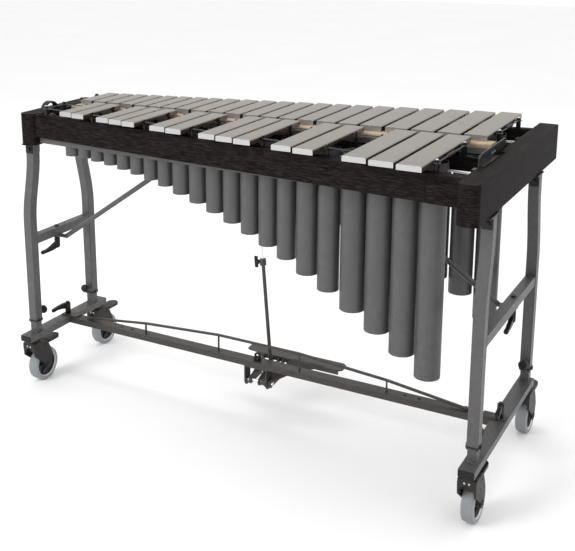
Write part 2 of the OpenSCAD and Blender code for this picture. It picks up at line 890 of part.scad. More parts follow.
// One leg. out is +1 where it bends towards +Y, -1 where it bends towards -Y.
module leg(side, y, out) {
    h = leg_w / 2;
    difference() {
        union() {
            translate([side * leg_x - h, 0, 0])
                rotate([90, 0, 90])
                    linear_extrude(leg_w)
                        leg_outline(y, out);
            // Collar at the mouth of the tube and the threaded boss of the height screw.
            translate([side * leg_x - h - 1, y - h - 1, leg_bottom + 2])
                cube([leg_w + 2, leg_w + 2, 3]);
            translate([side * leg_x, y - out * h, knob_z])
                rotate([out * 90, 0, 0])
                    cylinder(h = 6, r = 7, $fn = 32);
        }
        translate([side * leg_x - h + leg_wall, y - h + leg_wall, leg_bottom - 1])
            cube([leg_w - 2 * leg_wall, leg_w - 2 * leg_wall, stub_top + 10 - leg_bottom]);
        translate([side * leg_x, y - out * (h + 7), knob_z])
            rotate([-out * 90, 0, 0])
                cylinder(h = 10, r = knob_shaft_r + running_fit, $fn = 32);
        translate([side * leg_x, y - out * leg_bend - 30, top_bolt_z])
            rotate([-90, 0, 0])
                cylinder(h = 60, r = top_bolt_r + 0.1, $fn = 32);
    }
}

brace_bolt_r = 4;
module mid_bar(side, y0, y1, bolt_y) {
    difference() {
        box_tube_y(side * leg_x, y0 + leg_w / 2, y1 - leg_w / 2,
            mid_bar_top - mid_bar_h, mid_bar_h, leg_wall);
        translate([side * leg_x, bolt_y, mid_bar_top - mid_bar_h - 1])
            cylinder(h = mid_bar_h + 2, r = brace_bolt_r + 0.1, $fn = 32);
    }
}

module end_frames() {
    color("#434446") {
        leg(1, right_legs[0], -1);
        leg(1, right_legs[1], 1);
        leg(-1, left_legs[0], -1);
        leg(-1, left_legs[1], 1);
        mid_bar(1, right_legs[0], right_legs[1], brace_y_right);
        mid_bar(-1, left_legs[0], left_legs[1], brace_y_left);
    }
}

// The middle of each leg's top end.
leg_tops = [
    [leg_x, right_legs[0] + leg_bend], [leg_x, right_legs[1] - leg_bend],
    [-leg_x, left_legs[0] + leg_bend], [-leg_x, left_legs[1] - leg_bend]
];
cheek_t = 3;
module leg_top_brackets() {
    color("#2c2c2e")
        for (p = leg_tops)
            difference() {
                union() {
                    translate([p[0] - leg_w / 2, p[1] - 30, leg_top])
                        cube([leg_w, 60, board_z - leg_top]);
                    for (s = [-1, 1])
                        translate([
                            p[0] - 12, p[1] + s * (leg_w / 2 + cheek_t / 2) - cheek_t / 2, leg_top - 26
                        ])
                            cube([24, cheek_t, 26]);
                }
                translate([p[0], p[1] - 30, top_bolt_z])
                    rotate([-90, 0, 0])
                        cylinder(h = 60, r = top_bolt_r + 0.1, $fn = 32);
            }
}

// A hexagon-headed bolt along Z from z = 0 down, head on top.
module bolt(r, length, head_h) {
    translate([0, 0, -length])
        cylinder(h = length, r = r, $fn = 32);
    cylinder(h = head_h, r = 1.7 * r, $fn = 6);
}

brace_tab_t = 4;
lever_z = mid_bar_top - mid_bar_h - brace_tab_t;
module frame_bolts() {
    color("#303030") {
        for (p = leg_tops) {
            reach = leg_w / 2 + cheek_t;
            translate([p[0], p[1] - reach, top_bolt_z])
                rotate([90, 0, 0])
                    bolt(top_bolt_r, 2 * reach + 6, 5);
            translate([p[0], p[1] + reach, top_bolt_z])
                rotate([-90, 0, 0])
                    difference() {
                        cylinder(h = 5, r = 7, $fn = 6);
                        translate([0, 0, -1])
                            cylinder(h = 8, r = top_bolt_r, $fn = 32);
                    }
        }
        translate([leg_x, brace_y_right, mid_bar_top])
            bolt(brace_bolt_r, mid_bar_h + brace_tab_t + 26, 4);
        translate([-leg_x, brace_y_left, mid_bar_top])
            bolt(brace_bolt_r, mid_bar_h + brace_tab_t + 26, 4);
    }
}

// A diagonal brace: flattened end under the mid bar, round rod, tab under a centre rail.
brace_r = 7;
brace_low_x = 640;
module brace(side, y, tab) {
    z0 = mid_bar_top - mid_bar_h - brace_tab_t / 2;
    z1 = centre_rail_bottom - 6;
    x1 = brace_low_x - (z1 - z0) / brace_rise;
    difference() {
        translate([side > 0 ? brace_low_x - 6 : -leg_x - 11, y - 10, z0 - brace_tab_t / 2])
            cube([leg_x + 17 - brace_low_x, 20, brace_tab_t]);
        translate([side * leg_x, y, z0 - 10])
            cylinder(h = 20, r = brace_bolt_r + 0.1, $fn = 32);
    }
    rod([side * brace_low_x, y, z0], [side * x1, y, z1], brace_r);
    translate([side * x1 - 12, tab[0], z1 + 3])
        cube([24, tab[1] - tab[0], 3]);
    translate([side * x1 - 8, y - 4, z1 - 4])
        cube([16, 8, 8]);
}

module diagonal_braces() {
    color("#434446") {
        brace(1, brace_y_right, [brace_y_right - 8, 48]);
        brace(-1, brace_y_left, [-112, brace_y_left + 8]);
    }
}

// ---------------------------------------------------------------- base

module foot(side, ends, legs, stems) {
    x = side * leg_x;
    difference() {
        union() {
            translate([x - foot_w / 2, ends[0], foot_z])
                cube([foot_w, ends[1] - ends[0], foot_h]);
            for (y = legs)
                translate([x - stub_w / 2, y - stub_w / 2, foot_top])
                    cube([stub_w, stub_w, stub_top - foot_top]);
            for (y = stems)
                translate([x, y, foot_z - 6])
                    cylinder(h = 6, r = 17, $fn = 48);
        }
        // The tube is hollow between the plugs that hold the caster stems.
        translate([x - foot_w / 2 + 2, ends[0] + 60, foot_z + 2])
            cube([foot_w - 4, ends[1] - ends[0] - 120, foot_h - 4]);
        for (y = stems)
            translate([x, y, foot_z - 7])
                cylinder(h = 22, r = stem_r + running_fit, $fn = 32);
    }
}

module feet() {
    color("#353436") {
        foot(1, right_foot, right_legs, right_stems);
        foot(-1, left_foot, left_legs, left_stems);
    }
}

clamp_stud_r = 4;
clamp_tab_t = 4;
clamp_y = -42;
module crossbar() {
    color("#3a3736") {
        difference() {
            translate([-crossbar_end, crossbar_y - crossbar_w / 2, foot_z])
                cube([2 * crossbar_end, crossbar_w, foot_h]);
            translate([-crossbar_end + 30, crossbar_y - crossbar_w / 2 + 2, foot_z + 2])
                cube([2 * crossbar_end - 60, crossbar_w - 4, foot_h - 4]);
            for (side = [-1, 1])
                for (k = [-0.5, 0.5])
                    translate([side * hole_x + k * hole_pitch, crossbar_y, foot_z - 1])
                        cylinder(h = foot_h + 2, r = 4, $fn = 32);
            translate([-2, crossbar_y, foot_z - 1])
                cylinder(h = foot_h + 2, r = 4.1, $fn = 32);
        }
        // Tab over each foot with the stud of its clamp lever.
        for (side = [-1, 1]) {
            translate([side > 0 ? crossbar_end - 24 : -leg_x - 14, clamp_y - 14, foot_top])
                cube([leg_x + 38 - crossbar_end, 28, clamp_tab_t]);
            translate([side * leg_x, clamp_y, foot_top + clamp_tab_t])
                cylinder(h = 30, r = clamp_stud_r, $fn = 32);
        }
    }
}

// The arched rod over the crossbar, the posts that hold it up and the boss at each end.
module truss_rod() {
    half = [for (k = [0:2]) [truss_x[k], foot_top + truss_rise[k]]];
    run = concat([for (p = half) [-p[0], p[1]]], [for (k = [2:-1:0]) half[k]]);
    color("#4a4543") {
        translate([0, crossbar_y + truss_r, 0])
            rotate([90, 0, 0])
                linear_extrude(2 * truss_r)
                    polygon(concat(
                        [for (p = run) [p[0], p[1] + truss_r]],
                        [for (k = [len(run) - 1:-1:0]) [run[k][0], run[k][1] - truss_r]]
                    ));
        for (side = [-1, 1]) {
            for (k = [1, 2])
                translate([side * truss_x[k] - 1.5, crossbar_y - truss_r, foot_top])
                    cube([3, 2 * truss_r, truss_rise[k]]);
            translate([side * truss_x[0], crossbar_y, foot_top])
                cylinder(h = 8, r = 6, $fn = 32);
        }
    }
}

bracket_y = crossbar_y;
module pedal_bracket() {
    color("#4a4644")
        difference() {
            union() {
                translate([plate_x[0], bracket_y - 15, foot_z - plate_t])
                    cube([plate_x[1] + plate_t - plate_x[0], 30, plate_t]);
                for (x = plate_x)
                    translate([x, 0, 0])
                        rotate([90, 0, 90])
                            linear_extrude(plate_t)
                                polygon([
                                    [bracket_y - 15, foot_z - plate_t], [bracket_y + 15, foot_z - plate_t],
                                    for (a = [0:-30:-180])
                                        [bracket_y + 15 * cos(a), axle_z - 2 + 15 * sin(a)]
                                ]);
            }
            translate([-60, bracket_y, axle_z])
                rotate([0, 90, 0])
                    cylinder(h = 120, r = axle_r, $fn = 32);
            translate([-2, bracket_y, foot_z - 10])
                cylinder(h = 20, r = 4.1, $fn = 32);
        }
}

axle_x = [-41, 46];
axle_nut_x = -32.5;
module pedal_axle() {
    color("#a8a8aa") {
        translate([axle_x[0], bracket_y, axle_z])
            rotate([0, 90, 0])
                cylinder(h = axle_x[1] - axle_x[0], r = axle_r, $fn = 32);
        for (x = [axle_x[0], axle_x[1] - 3])
            translate([x, bracket_y, axle_z])
                rotate([0, 90, 0])
                    cylinder(h = 3, r = 5.5, $fn = 32);
        translate([axle_nut_x, bracket_y, axle_z])
            rotate([0, 90, 0])
                cylinder(h = 6, r = 7.5, $fn = 6);
    }
}

// The curved sheet of the pedal, in its own sloping plane: x along X, s up the slope.
pedal_slope = atan((pedal_z - axle_z) / (pedal_y[0] - bracket_y));
slope_len = norm([pedal_z - axle_z, pedal_y[0] - bracket_y]);
module pedal_sheet() {
    polygon([
        [ear_x, 6.5],
        for (t = [0:0.1:1]) [ear_x + 12 + 90 * t, (slope_len - 24) * (0.62 * sin(90 * t) + 0.38 * t) + 7],
        [ear_x + 130, slope_len + 1], [ear_x + 34, slope_len + 1],
        for (t = [1:-0.1:0]) [ear_x + 4 + 24 * t * t, 22 + (slope_len - 30) * t],
        [ear_x, 20]
    ]);
}

pedal_lip = 11;
module pedal() {
    px0 = pedal_x[0];
    px1 = pedal_x[1];
    color("#4a4644")
        difference() {
            union() {
                // Hub on the axle and the two arms that hold the rod's pin.
                translate([hub_x, bracket_y, axle_z])
                    rotate([0, 90, 0])
                        cylinder(h = plate_x[1] - hub_x - 1, r = hub_r, $fn = 48);
                for (x = [rod_foot[0] - arm_gap - arm_t, rod_foot[0] + arm_gap, left_arm_x, ear_x])
                    arm_plate(x);
                translate([0, bracket_y, axle_z])
                    rotate([pedal_slope, 0, 0])
                        translate([0, 0, 6])
                            linear_extrude(3)
                                pedal_sheet();
                // The wide plate with its rolled edges.
                translate([0, 0, pedal_z])
                    linear_extrude(3)
                        polygon([
                            [px0 + 6, pedal_y[0] + 4], [px0 + 40, pedal_y[0]],
                            [px1 - 8, pedal_y[0]], [px1, pedal_y[0] + 8],
                            [px1, pedal_y[1] - 12], [px1 - 12, pedal_y[1]],
                            [px0 + 12, pedal_y[1]], [px0, pedal_y[1] - 12],
                            [px0, pedal_y[0] + 12]
                        ]);
                translate([px0 + 12, pedal_y[1] - 3, pedal_z - pedal_lip])
                    cube([pedal_w - 24, 3, pedal_lip]);
                translate([px0 + 40, pedal_y[0], pedal_z - pedal_lip])
                    cube([pedal_w - 50, 3, pedal_lip]);
            }
            translate([-60, bracket_y, axle_z])
                rotate([0, 90, 0])
                    cylinder(h = 120, r = axle_r + running_fit, $fn = 32);
            translate([rod_foot[0] - 20, rod_foot[1], rod_foot[2]])
                rotate([0, 90, 0])
                    cylinder(h = 40, r = rod_pin_r + pin_play, $fn = 32);
        }
}

// One side plate of the pedal from the axle up to the wide plate.
module arm_plate(x) {
    translate([x, 0, 0])
        rotate([90, 0, 90])
            linear_extrude(arm_t)
                polygon([
                    for (a = [100:26:308]) [bracket_y + 12 * cos(a), axle_z + 12 * sin(a)],
                    [rod_foot[1] + 8, rod_foot[2] - 9], [rod_foot[1] + 14, rod_foot[2]],
                    [pedal_y[0] + 6, pedal_z], [pedal_y[0] - 6, pedal_z]
                ]);
}

rod_axis_len = norm(rod_dir);
rod_unit = rod_dir / rod_axis_len;
collar_r = 9;
collar_h = 16;

// Things placed along the leaning rod, measured from its foot.
module on_rod(s) {
    translate(rod_foot)
        rotate([0, acos(rod_unit[2]), atan2(rod_unit[1], rod_unit[0])])
            translate([0, 0, s])
                children();
}

function rod_s(z) = (z - rod_foot[2]) / rod_unit[2];
tube_s = [14, rod_s(rod_tube_top)];
wing_turn = -45;

module damper_rod_tube() {
    color("#45403e") {
        difference() {
            union() {
                on_rod(tube_s[0])
                    cylinder(h = tube_s[1] - tube_s[0], r = rod_r, $fn = 32);
                on_rod(tube_s[1] - collar_h)
                    cylinder(h = collar_h + 1, r = collar_r, $fn = 48);
                translate([rod_foot[0] - arm_gap + 1, rod_foot[1], rod_foot[2]])
                    rotate([0, 90, 0])
                        cylinder(h = 2 * arm_gap - 2, r = rod_eye_r, $fn = 48);
                on_rod(4)
                    cylinder(h = 12, r = 4, $fn = 32);
            }
            on_rod(tube_s[0] + 10)
                cylinder(h = tube_s[1], r = rod_upper_r + running_fit, $fn = 32);
            on_rod(tube_s[1] - collar_h / 2)
                rotate([0, 90, wing_turn])
                    cylinder(h = 30, r = 2 + running_fit, $fn = 24);
        }
        // The pin that the pedal pulls on.
        translate([rod_foot[0] - arm_gap - arm_t - 1, rod_foot[1], rod_foot[2]])
            rotate([0, 90, 0])
                cylinder(h = 2 * (arm_gap + arm_t + 1), r = rod_pin_r, $fn = 32);
    }
}

head_s = rod_s(lug_z + 3) + body_gap + 0.8;
module damper_rod_upper() {
    color("#d6d8da") {
        on_rod(rod_s(rod_tube_top) - height_range - 40)
            cylinder(h = head_s + 4 - rod_s(rod_tube_top) + height_range + 40, r = rod_upper_r, $fn = 32);
        on_rod(head_s)
            cylinder(h = 4, r = 6, $fn = 32);
    }
}

module rod_wing_screw() {
    color("#151515")
        on_rod(tube_s[1] - collar_h / 2)
            rotate([0, 90, wing_turn]) {
                translate([0, 0, rod_upper_r + body_gap])
                    cylinder(h = 16, r = 2, $fn = 24);
                translate([0, 0, collar_r + 2])
                    cylinder(h = 10, r = 6, $fn = 32);
                translate([-16, -2.5, collar_r + 6])
                    cube([32, 5, 9]);
            }
}

// The black loop knob on the crossbar whose bolt holds the pedal bracket.
module bracket_knob() {
    color("#121212") {
        translate([-2, crossbar_y, foot_z - plate_t - 12])
            cylinder(h = foot_h + plate_t + 14, r = 4, $fn = 32);
        translate([-2, crossbar_y, foot_top + body_gap])
            cylinder(h = 7, r = 11, $fn = 48);
        translate([-2, crossbar_y + 2.5, foot_top + 7])
            rotate([90, 0, 0])
                linear_extrude(5)
                    difference() {
                        union() {
                            translate([0, 6])
                                circle(r = 9, $fn = 48);
                            translate([-9, 0])
                                square([18, 6]);
                        }
                        translate([0, 6])
                            circle(r = 4.5, $fn = 32);
                    }
        translate([-2, crossbar_y, foot_z - plate_t - body_gap - 6])
            cylinder(h = 6, r = 7, $fn = 6);
    }
}

// ---------------------------------------------------------------- clamp levers and knobs

// An indexed clamp lever about +Z: hub with a screw head and a curved handle along +X.
// lift is the angle at which the handle stands off.
module clamp_lever(stud_r, lift) {
    difference() {
        union() {
            cylinder(h = 34, r = lever_r + 1.5, $fn = 48);
            translate([0, 0, 34])
                cylinder(h = 4, r = lever_r - 1.5, $fn = 32);
            translate([0, 5, 27])
                rotate([90, -lift, 0])
                    linear_extrude(10)
                        polygon([
                            [-4, -9], [-4, 6], [10, 8.5], [24, 7.5], [38, 4.5], [lever_reach, 0],
                            [lever_reach, -8], [38, -5], [24, -6], [10, -9]
                        ]);
            translate([0, 0, 27])
                rotate([0, -lift, 0])
                    translate([lever_reach, 0, -4])
                        sphere(r = 6, $fn = 32);
        }
        translate([0, 0, -1])
            cylinder(h = 33, r = stud_r + running_fit, $fn = 32);
    }
}

lever_gap = 0.3;
brace_lift = 22;
module foot_clamp_right() {
    color("#161616")
        translate([leg_x, clamp_y, foot_top + clamp_tab_t + lever_gap])
            rotate([0, 0, -84])
                clamp_lever(clamp_stud_r, 0);
}

module foot_clamp_left() {
    color("#161616")
        translate([-leg_x, clamp_y, foot_top + clamp_tab_t + lever_gap])
            rotate([0, 0, -104])
                clamp_lever(clamp_stud_r, 0);
}

module brace_clamp_right() {
    color("#161616")
        translate([leg_x, brace_y_right, lever_z - lever_gap])
            rotate([180, 0, -90])
                clamp_lever(brace_bolt_r, brace_lift);
}

module brace_clamp_left() {
    color("#161616")
        translate([-leg_x, brace_y_left, lever_z - lever_gap])
            rotate([180, 0, -109])
                clamp_lever(brace_bolt_r, brace_lift);
}

// A height screw on the inner face of a leg. out is the way that the leg bends.
module height_knob(side, y, out) {
    color("#151515")
        translate([side * leg_x, y - out * (leg_w / 2 - leg_wall), knob_z])
            rotate([out * 90, 0, 0]) {
                cylinder(h = 16, r = knob_shaft_r, $fn = 32);
                translate([0, 0, leg_wall + 6 + body_gap])
                    cylinder(h = 8, r = 6, $fn = 32);
                translate([0, 0, leg_wall + 14])
                    knob_head();
            }
}

module knob_head() {
    rotate_extrude($fn = 48)
        polygon([[0, 0], [8, 0], [12, 4], [12.5, 8], [11, 12], [7, 14], [0, 14.5]]);
}

module height_knob_front_right() { height_knob(1, right_legs[0], -1); }
module height_knob_back_right() { height_knob(1, right_legs[1], 1); }
module height_knob_front_left() { height_knob(-1, left_legs[0], -1); }
module height_knob_back_left() { height_knob(-1, left_legs[1], 1); }

// ---------------------------------------------------------------- casters

// The housing: stem, domed crown and two cheeks down to the wheel's axle.
module caster_fork(x, y) {
    w = fork_gap + fork_plate;
    color("#232324")
        translate([x, y, 0])
            difference() {
                union() {
                    translate([0, 0, fork_top])
                        cylinder(h = 18, r = stem_r, $fn = 32);
                    translate([0, 0, fork_top - 5])
                        cylinder(h = 5, r = 21, $fn = 64);
                    translate([-w, 0, 0])
                        rotate([90, 0, 90])
                            linear_extrude(2 * w)
                                fork_outline();
                    translate([-w - 2, trail, wheel_r])
                        rotate([0, 90, 0])
                            cylinder(h = 2 * w + 4, r = 7, $fn = 48);
                }
                // The arch at the front and the wheel well behind it.
                translate([0, -25, front_arch_z])
                    rotate([-90, 0, 0])
                        cylinder(h = 19, r = fork_gap, $fn = 64);
                translate([-fork_gap, -25, 0])
                    cube([2 * fork_gap, 60, front_arch_z]);
                translate([-fork_gap, trail - 1, wheel_r])
                    rotate([0, 90, 0])
                        cylinder(h = 2 * fork_gap, r = wheel_r + 4, $fn = 64);
                translate([-fork_gap, -30, 0])
                    cube([2 * fork_gap, 120, wheel_r]);
                // Room for the brake pedal over the wheel.
                translate([-fork_gap, brake_y - 12, brake_z - 8])
                    cube([2 * fork_gap, 90, 30]);
                translate([-brake_shoe_w / 2 - 1, brake_y + 2, brake_z - 20])
                    cube([brake_shoe_w + 2, 60, 20]);
                translate([-w - 1, brake_y, brake_z])
                    rotate([0, 90, 0])
                        cylinder(h = 2 * w + 2, r = brake_pin_r + running_fit, $fn = 24);
            }
    color("#5a5c5e")
        translate([x - fork_gap - 1, y + trail, wheel_r])
            rotate([0, 90, 0])
                cylinder(h = 2 * fork_gap + 2, r = wheel_axle_r, $fn = 32);
}

brake_pin_r = 3;
brake_shoe = 13.2;
brake_shoe_w = 20;
front_arch_z = 98;
module fork_outline() {
    polygon([
        [-19, fork_top - 4], [-21, fork_top - 12], [-18, 92],
        for (a = [160:25:335]) [trail + 13 * cos(a), wheel_r + 13 * sin(a)],
        [trail + 20, 78], [trail + 10, 104], [brake_y + 10, fork_top - 8], [18, fork_top - 4]
    ]);
}

// Tyre with rounded shoulders, web and hub, bored for the axle.
module caster_wheel(x, y) {
    h = wheel_w / 2;
    color("#8d9094")
        translate([x, y + trail, wheel_r])
            rotate([0, 90, 0])
                rotate_extrude($fn = 96)
                    polygon([
                        [wheel_axle_r + running_fit, -h - 1], [12, -h - 1], [14, -5],
                        [wheel_r - 16, -6], [wheel_r - 12, -h + 1], [wheel_r - 8, -h],
                        for (a = [-90:15:-1]) [wheel_r - 7 + 7 * cos(a), 7 - h + 7 * sin(a)],
                        for (a = [0:15:90]) [wheel_r - 7 + 7 * cos(a), h - 7 + 7 * sin(a)],
                        [wheel_r - 8, h], [wheel_r - 12, h - 1],
                        [wheel_r - 16, 6], [14, 5], [12, h + 1],
                        [wheel_axle_r + running_fit, h + 1]
                    ]);
}

// The brake pedal over the wheel, hinged across the top of the housing.
module caster_brake(x, y) {
    color("#1b1b1c")
        translate([x, y + brake_y, brake_z]) {
            rotate([0, 90, 0])
                translate([0, 0, -fork_gap - 3])
                    cylinder(h = 2 * fork_gap + 6, r = brake_pin_r, $fn = 24);
            translate([-fork_gap + 1, -4, -4])
                cube([2 * fork_gap - 2, 30, 8]);
            translate([-brake_shoe_w / 2, 8, -brake_shoe])
                cube([brake_shoe_w, 10, brake_shoe]);
            translate([-18, 22, -3])
                cube([36, 38, 8]);
            translate([0, 60, -3])
                cylinder(h = 8, r = 18, $fn = 48);
        }
}

module caster_fork_front_right() { caster_fork(leg_x, right_stems[0]); }
module caster_fork_back_right() { caster_fork(leg_x, right_stems[1]); }
module caster_fork_front_left() { caster_fork(-leg_x, left_stems[0]); }
module caster_fork_back_left() { caster_fork(-leg_x, left_stems[1]); }
module caster_wheel_front_right() { caster_wheel(leg_x, right_stems[0]); }
module caster_wheel_back_right() { caster_wheel(leg_x, right_stems[1]); }
module caster_wheel_front_left() { caster_wheel(-leg_x, left_stems[0]); }
module caster_wheel_back_left() { caster_wheel(-leg_x, left_stems[1]); }
module caster_brake_front_right() { caster_brake(leg_x, right_stems[0]); }
module caster_brake_back_right() { caster_brake(leg_x, right_stems[1]); }
module caster_brake_front_left() { caster_brake(-leg_x, left_stems[0]); }
module caster_brake_back_left() { caster_brake(-leg_x, left_stems[1]); }

feet();
crossbar();
truss_rod();
pedal_bracket();
pedal_axle();
pedal();
damper_rod_tube();
damper_rod_upper();
rod_wing_screw();
bracket_knob();
caster_fork_front_right();
caster_fork_back_right();
caster_fork_front_left();
caster_fork_back_left();
caster_wheel_front_right();
caster_wheel_back_right();
caster_wheel_front_left();
caster_wheel_back_left();
caster_brake_front_right();
caster_brake_back_right();
caster_brake_front_left();
caster_brake_back_left();
height_knob_front_right();
height_knob_back_right();
height_knob_front_left();
height_knob_back_left();
foot_clamp_right();
foot_clamp_left();
brace_clamp_right();
brace_clamp_left();
end_frames();
leg_top_brackets();
frame_bolts();
diagonal_braces();
end_boards();
front_rail();
rear_rail();
centre_rails();
bar_posts();
suspension_cord();
cord_springs();
natural_bars_low();
natural_bars_high();
accidental_bars_low();
accidental_bars_high();
natural_resonators();
accidental_resonators();
resonator_stoppers();
resonator_rails();
natural_fan_shaft();
accidental_fan_shaft();
shaft_bearings();
motor();
motor_pulley();
drive_belts();
pulley_guard();
damper_bar();
damper_felt();
damper_guides();
damper_springs();
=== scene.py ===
"""Looks of the vibraphone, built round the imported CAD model.

Metres, +X to the low notes, -Y to the audience.
"""

import math
import random

import bpy
from mathutils import Matrix, Vector, noise


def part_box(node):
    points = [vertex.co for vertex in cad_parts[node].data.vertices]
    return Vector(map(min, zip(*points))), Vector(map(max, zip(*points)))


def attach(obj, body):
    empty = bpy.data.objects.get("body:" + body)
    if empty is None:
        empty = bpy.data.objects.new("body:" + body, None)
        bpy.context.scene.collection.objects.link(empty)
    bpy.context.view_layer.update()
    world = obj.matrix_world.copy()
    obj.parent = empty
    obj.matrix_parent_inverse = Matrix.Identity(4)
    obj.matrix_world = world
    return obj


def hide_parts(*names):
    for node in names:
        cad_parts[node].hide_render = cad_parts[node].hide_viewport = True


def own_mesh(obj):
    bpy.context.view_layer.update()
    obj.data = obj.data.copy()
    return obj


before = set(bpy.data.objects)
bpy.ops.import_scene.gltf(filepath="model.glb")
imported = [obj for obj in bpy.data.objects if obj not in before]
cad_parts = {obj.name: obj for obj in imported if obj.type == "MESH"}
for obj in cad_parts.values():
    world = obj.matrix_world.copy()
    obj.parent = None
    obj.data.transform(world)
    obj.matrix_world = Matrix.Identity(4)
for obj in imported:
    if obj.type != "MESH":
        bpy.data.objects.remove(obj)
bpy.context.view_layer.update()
scene = bpy.context.scene
MM = 0.001


# ---------------------------------------------------------------- camera, light and floor

def make_camera():
    """A long lens, shifted down as the photographer's was, so that the uprights stay nearly parallel."""
    yaw, pitch, roll = math.radians(29.86), math.radians(13.32), math.radians(-0.35)
    forward = Vector((-math.sin(yaw) * math.cos(pitch), math.cos(yaw) * math.cos(pitch), -math.sin(pitch)))
    right = Vector((math.cos(yaw), math.sin(yaw), 0))
    up = right.cross(forward)
    rolled_right = right * math.cos(roll) + up * math.sin(roll)
    rolled_up = up * math.cos(roll) - right * math.sin(roll)
    data = bpy.data.cameras.new("camera")
    data.sensor_width = 36
    data.lens = 978.5 * 36 / 575
    data.shift_x = 0.0728
    data.shift_y = -0.2112
    data.clip_end = 60
    cam = bpy.data.objects.new("camera", data)
    axes = Matrix((rolled_right, rolled_up, -forward)).transposed()
    cam.matrix_world = Matrix.Translation((1.2239, -2.2368, 1.3425)) @ axes.to_4x4()
    scene.collection.objects.link(cam)
    scene.camera = cam


def area_light(name, place, aim, size, power):
    data = bpy.data.lights.new(name, "AREA")
    data.shape = "RECTANGLE"
    data.size, data.size_y = size
    data.energy = power
    lamp = bpy.data.objects.new(name, data)
    lamp.location = place
    lamp.rotation_euler = (Vector(aim) - Vector(place)).to_track_quat("-Z", "Y").to_euler()
    scene.collection.objects.link(lamp)


def make_studio():
    world = bpy.data.worlds.new("studio")
    world.use_nodes = True
    sky = world.node_tree.nodes["Background"]
    sky.inputs["Color"].default_value = (1, 1, 1, 1)
    sky.inputs["Strength"].default_value = 1.0
    scene.world = world
    area_light("key", (-1.6, -3.4, 2.6), (0, 0, 0.5), (1.6, 1.4), 85)
    area_light("side", (3.6, -0.6, 2.4), (0.3, 0, 0.5), (0.8, 1.6), 4)
    area_light("top", (0.2, 0.8, 3.6), (0, 0, 0.8), (3.0, 1.4), 30)
    scene.view_settings.view_transform = "Standard"
    scene.view_settings.look = "None"
    mesh = bpy.data.meshes.new("floor")
    s = 14
    mesh.from_pydata([(-s, -s, 0), (s, -s, 0), (s, s, 0), (-s, s, 0)], [], [(0, 1, 2, 3)])
    floor = bpy.data.objects.new("floor", mesh)
    scene.collection.objects.link(floor)
    floor.data.materials.append(floor_material())


# ---------------------------------------------------------------- materials

class Shader:
    """A small helper round one Principled material."""

    def __init__(self, name, metallic=0.0, **fixed):
        self.material = bpy.data.materials.new(name)
        self.material.use_nodes = True
        self.tree = self.material.node_tree
        self.bsdf = self.tree.nodes["Principled BSDF"]
        self.set(self.bsdf, Metallic=metallic, **fixed)
        self.place = self.node("ShaderNodeTexCoord").outputs["Object"]
        self.normal = None

    def set(self, node, **values):
        for key, value in values.items():
            socket = node.inputs[key.replace("_", " ")]
            if isinstance(value, bpy.types.NodeSocket):
                self.tree.links.new(value, socket)
            else:
                socket.default_value = value
        return node

    def node(self, kind, **values):
        return self.set(self.tree.nodes.new(kind), **values)

    def mapped(self, scale):
        return self.node("ShaderNodeMapping", Vector=self.place, Scale=scale).outputs["Vector"]

    def noise(self, scale, detail=3.0, stretch=None, rough=0.5):
        where = self.mapped(stretch) if stretch else self.place
        node = self.node("ShaderNodeTexNoise", Vector=where, Scale=scale, Detail=detail, Roughness=rough)
        return node.outputs["Fac"]

    def cells(self, scale, stretch=None):
        where = self.mapped(stretch) if stretch else self.place
        node = self.node("ShaderNodeTexVoronoi", Vector=where, Scale=scale)
        return node.outputs["Distance"]

    def ramp(self, fac, stops):
        node = self.node("ShaderNodeValToRGB", Fac=fac)
        band = node.color_ramp
        while len(band.elements) < len(stops):
            band.elements.new(0.5)
        for element, (at, colour) in zip(band.elements, stops):
            element.position = at
            element.color = (*colour, 1)
        return node.outputs["Color"]

    def span(self, fac, low, high, from_low=0.3, from_high=0.7):
        node = self.node("ShaderNodeMapRange", Value=fac)
        node.inputs["From Min"].default_value = from_low
        node.inputs["From Max"].default_value = from_high
        node.inputs["To Min"].default_value = low
        node.inputs["To Max"].default_value = high
        return node.outputs["Result"]

    def math(self, operation, a, b=0.0):
        node = self.tree.nodes.new("ShaderNodeMath")
        node.operation = operation
        for socket, value in zip(node.inputs, (a, b)):
            if isinstance(value, bpy.types.NodeSocket):
                self.tree.links.new(value, socket)
            else:
                socket.default_value = value
        return node.outputs[0]

    def mix(self, fac, a, b, blend="MIX"):
        node = self.tree.nodes.new("ShaderNodeMix")
        node.data_type = "RGBA"
        node.blend_type = blend
        for socket, value in ((node.inputs[0], fac), (node.inputs[6], a), (node.inputs[7], b)):
            if isinstance(value, bpy.types.NodeSocket):
                self.tree.links.new(value, socket)
            else:
                socket.default_value = (*value, 1) if isinstance(value, tuple) else value
        return node.outputs[2]

    def bump(self, height, strength, distance):
        node = self.node("ShaderNodeBump", Height=height, Strength=strength, Distance=distance)
        if self.normal:
            self.tree.links.new(self.normal, node.inputs["Normal"])
        self.normal = node.outputs["Normal"]
        self.tree.links.new(self.normal, self.bsdf.inputs["Normal"])

    def colour(self, socket):
        self.tree.links.new(socket, self.bsdf.inputs["Base Color"])

    def roughness(self, socket):
        self.tree.links.new(socket, self.bsdf.inputs["Roughness"])


def floor_material():
    s = Shader("floor_matt", Roughness=0.75)
    s.colour(s.ramp(s.noise(1.5), [(0.3, (0.93, 0.93, 0.93)), (0.7, (0.95, 0.95, 0.95))]))
    return s.material


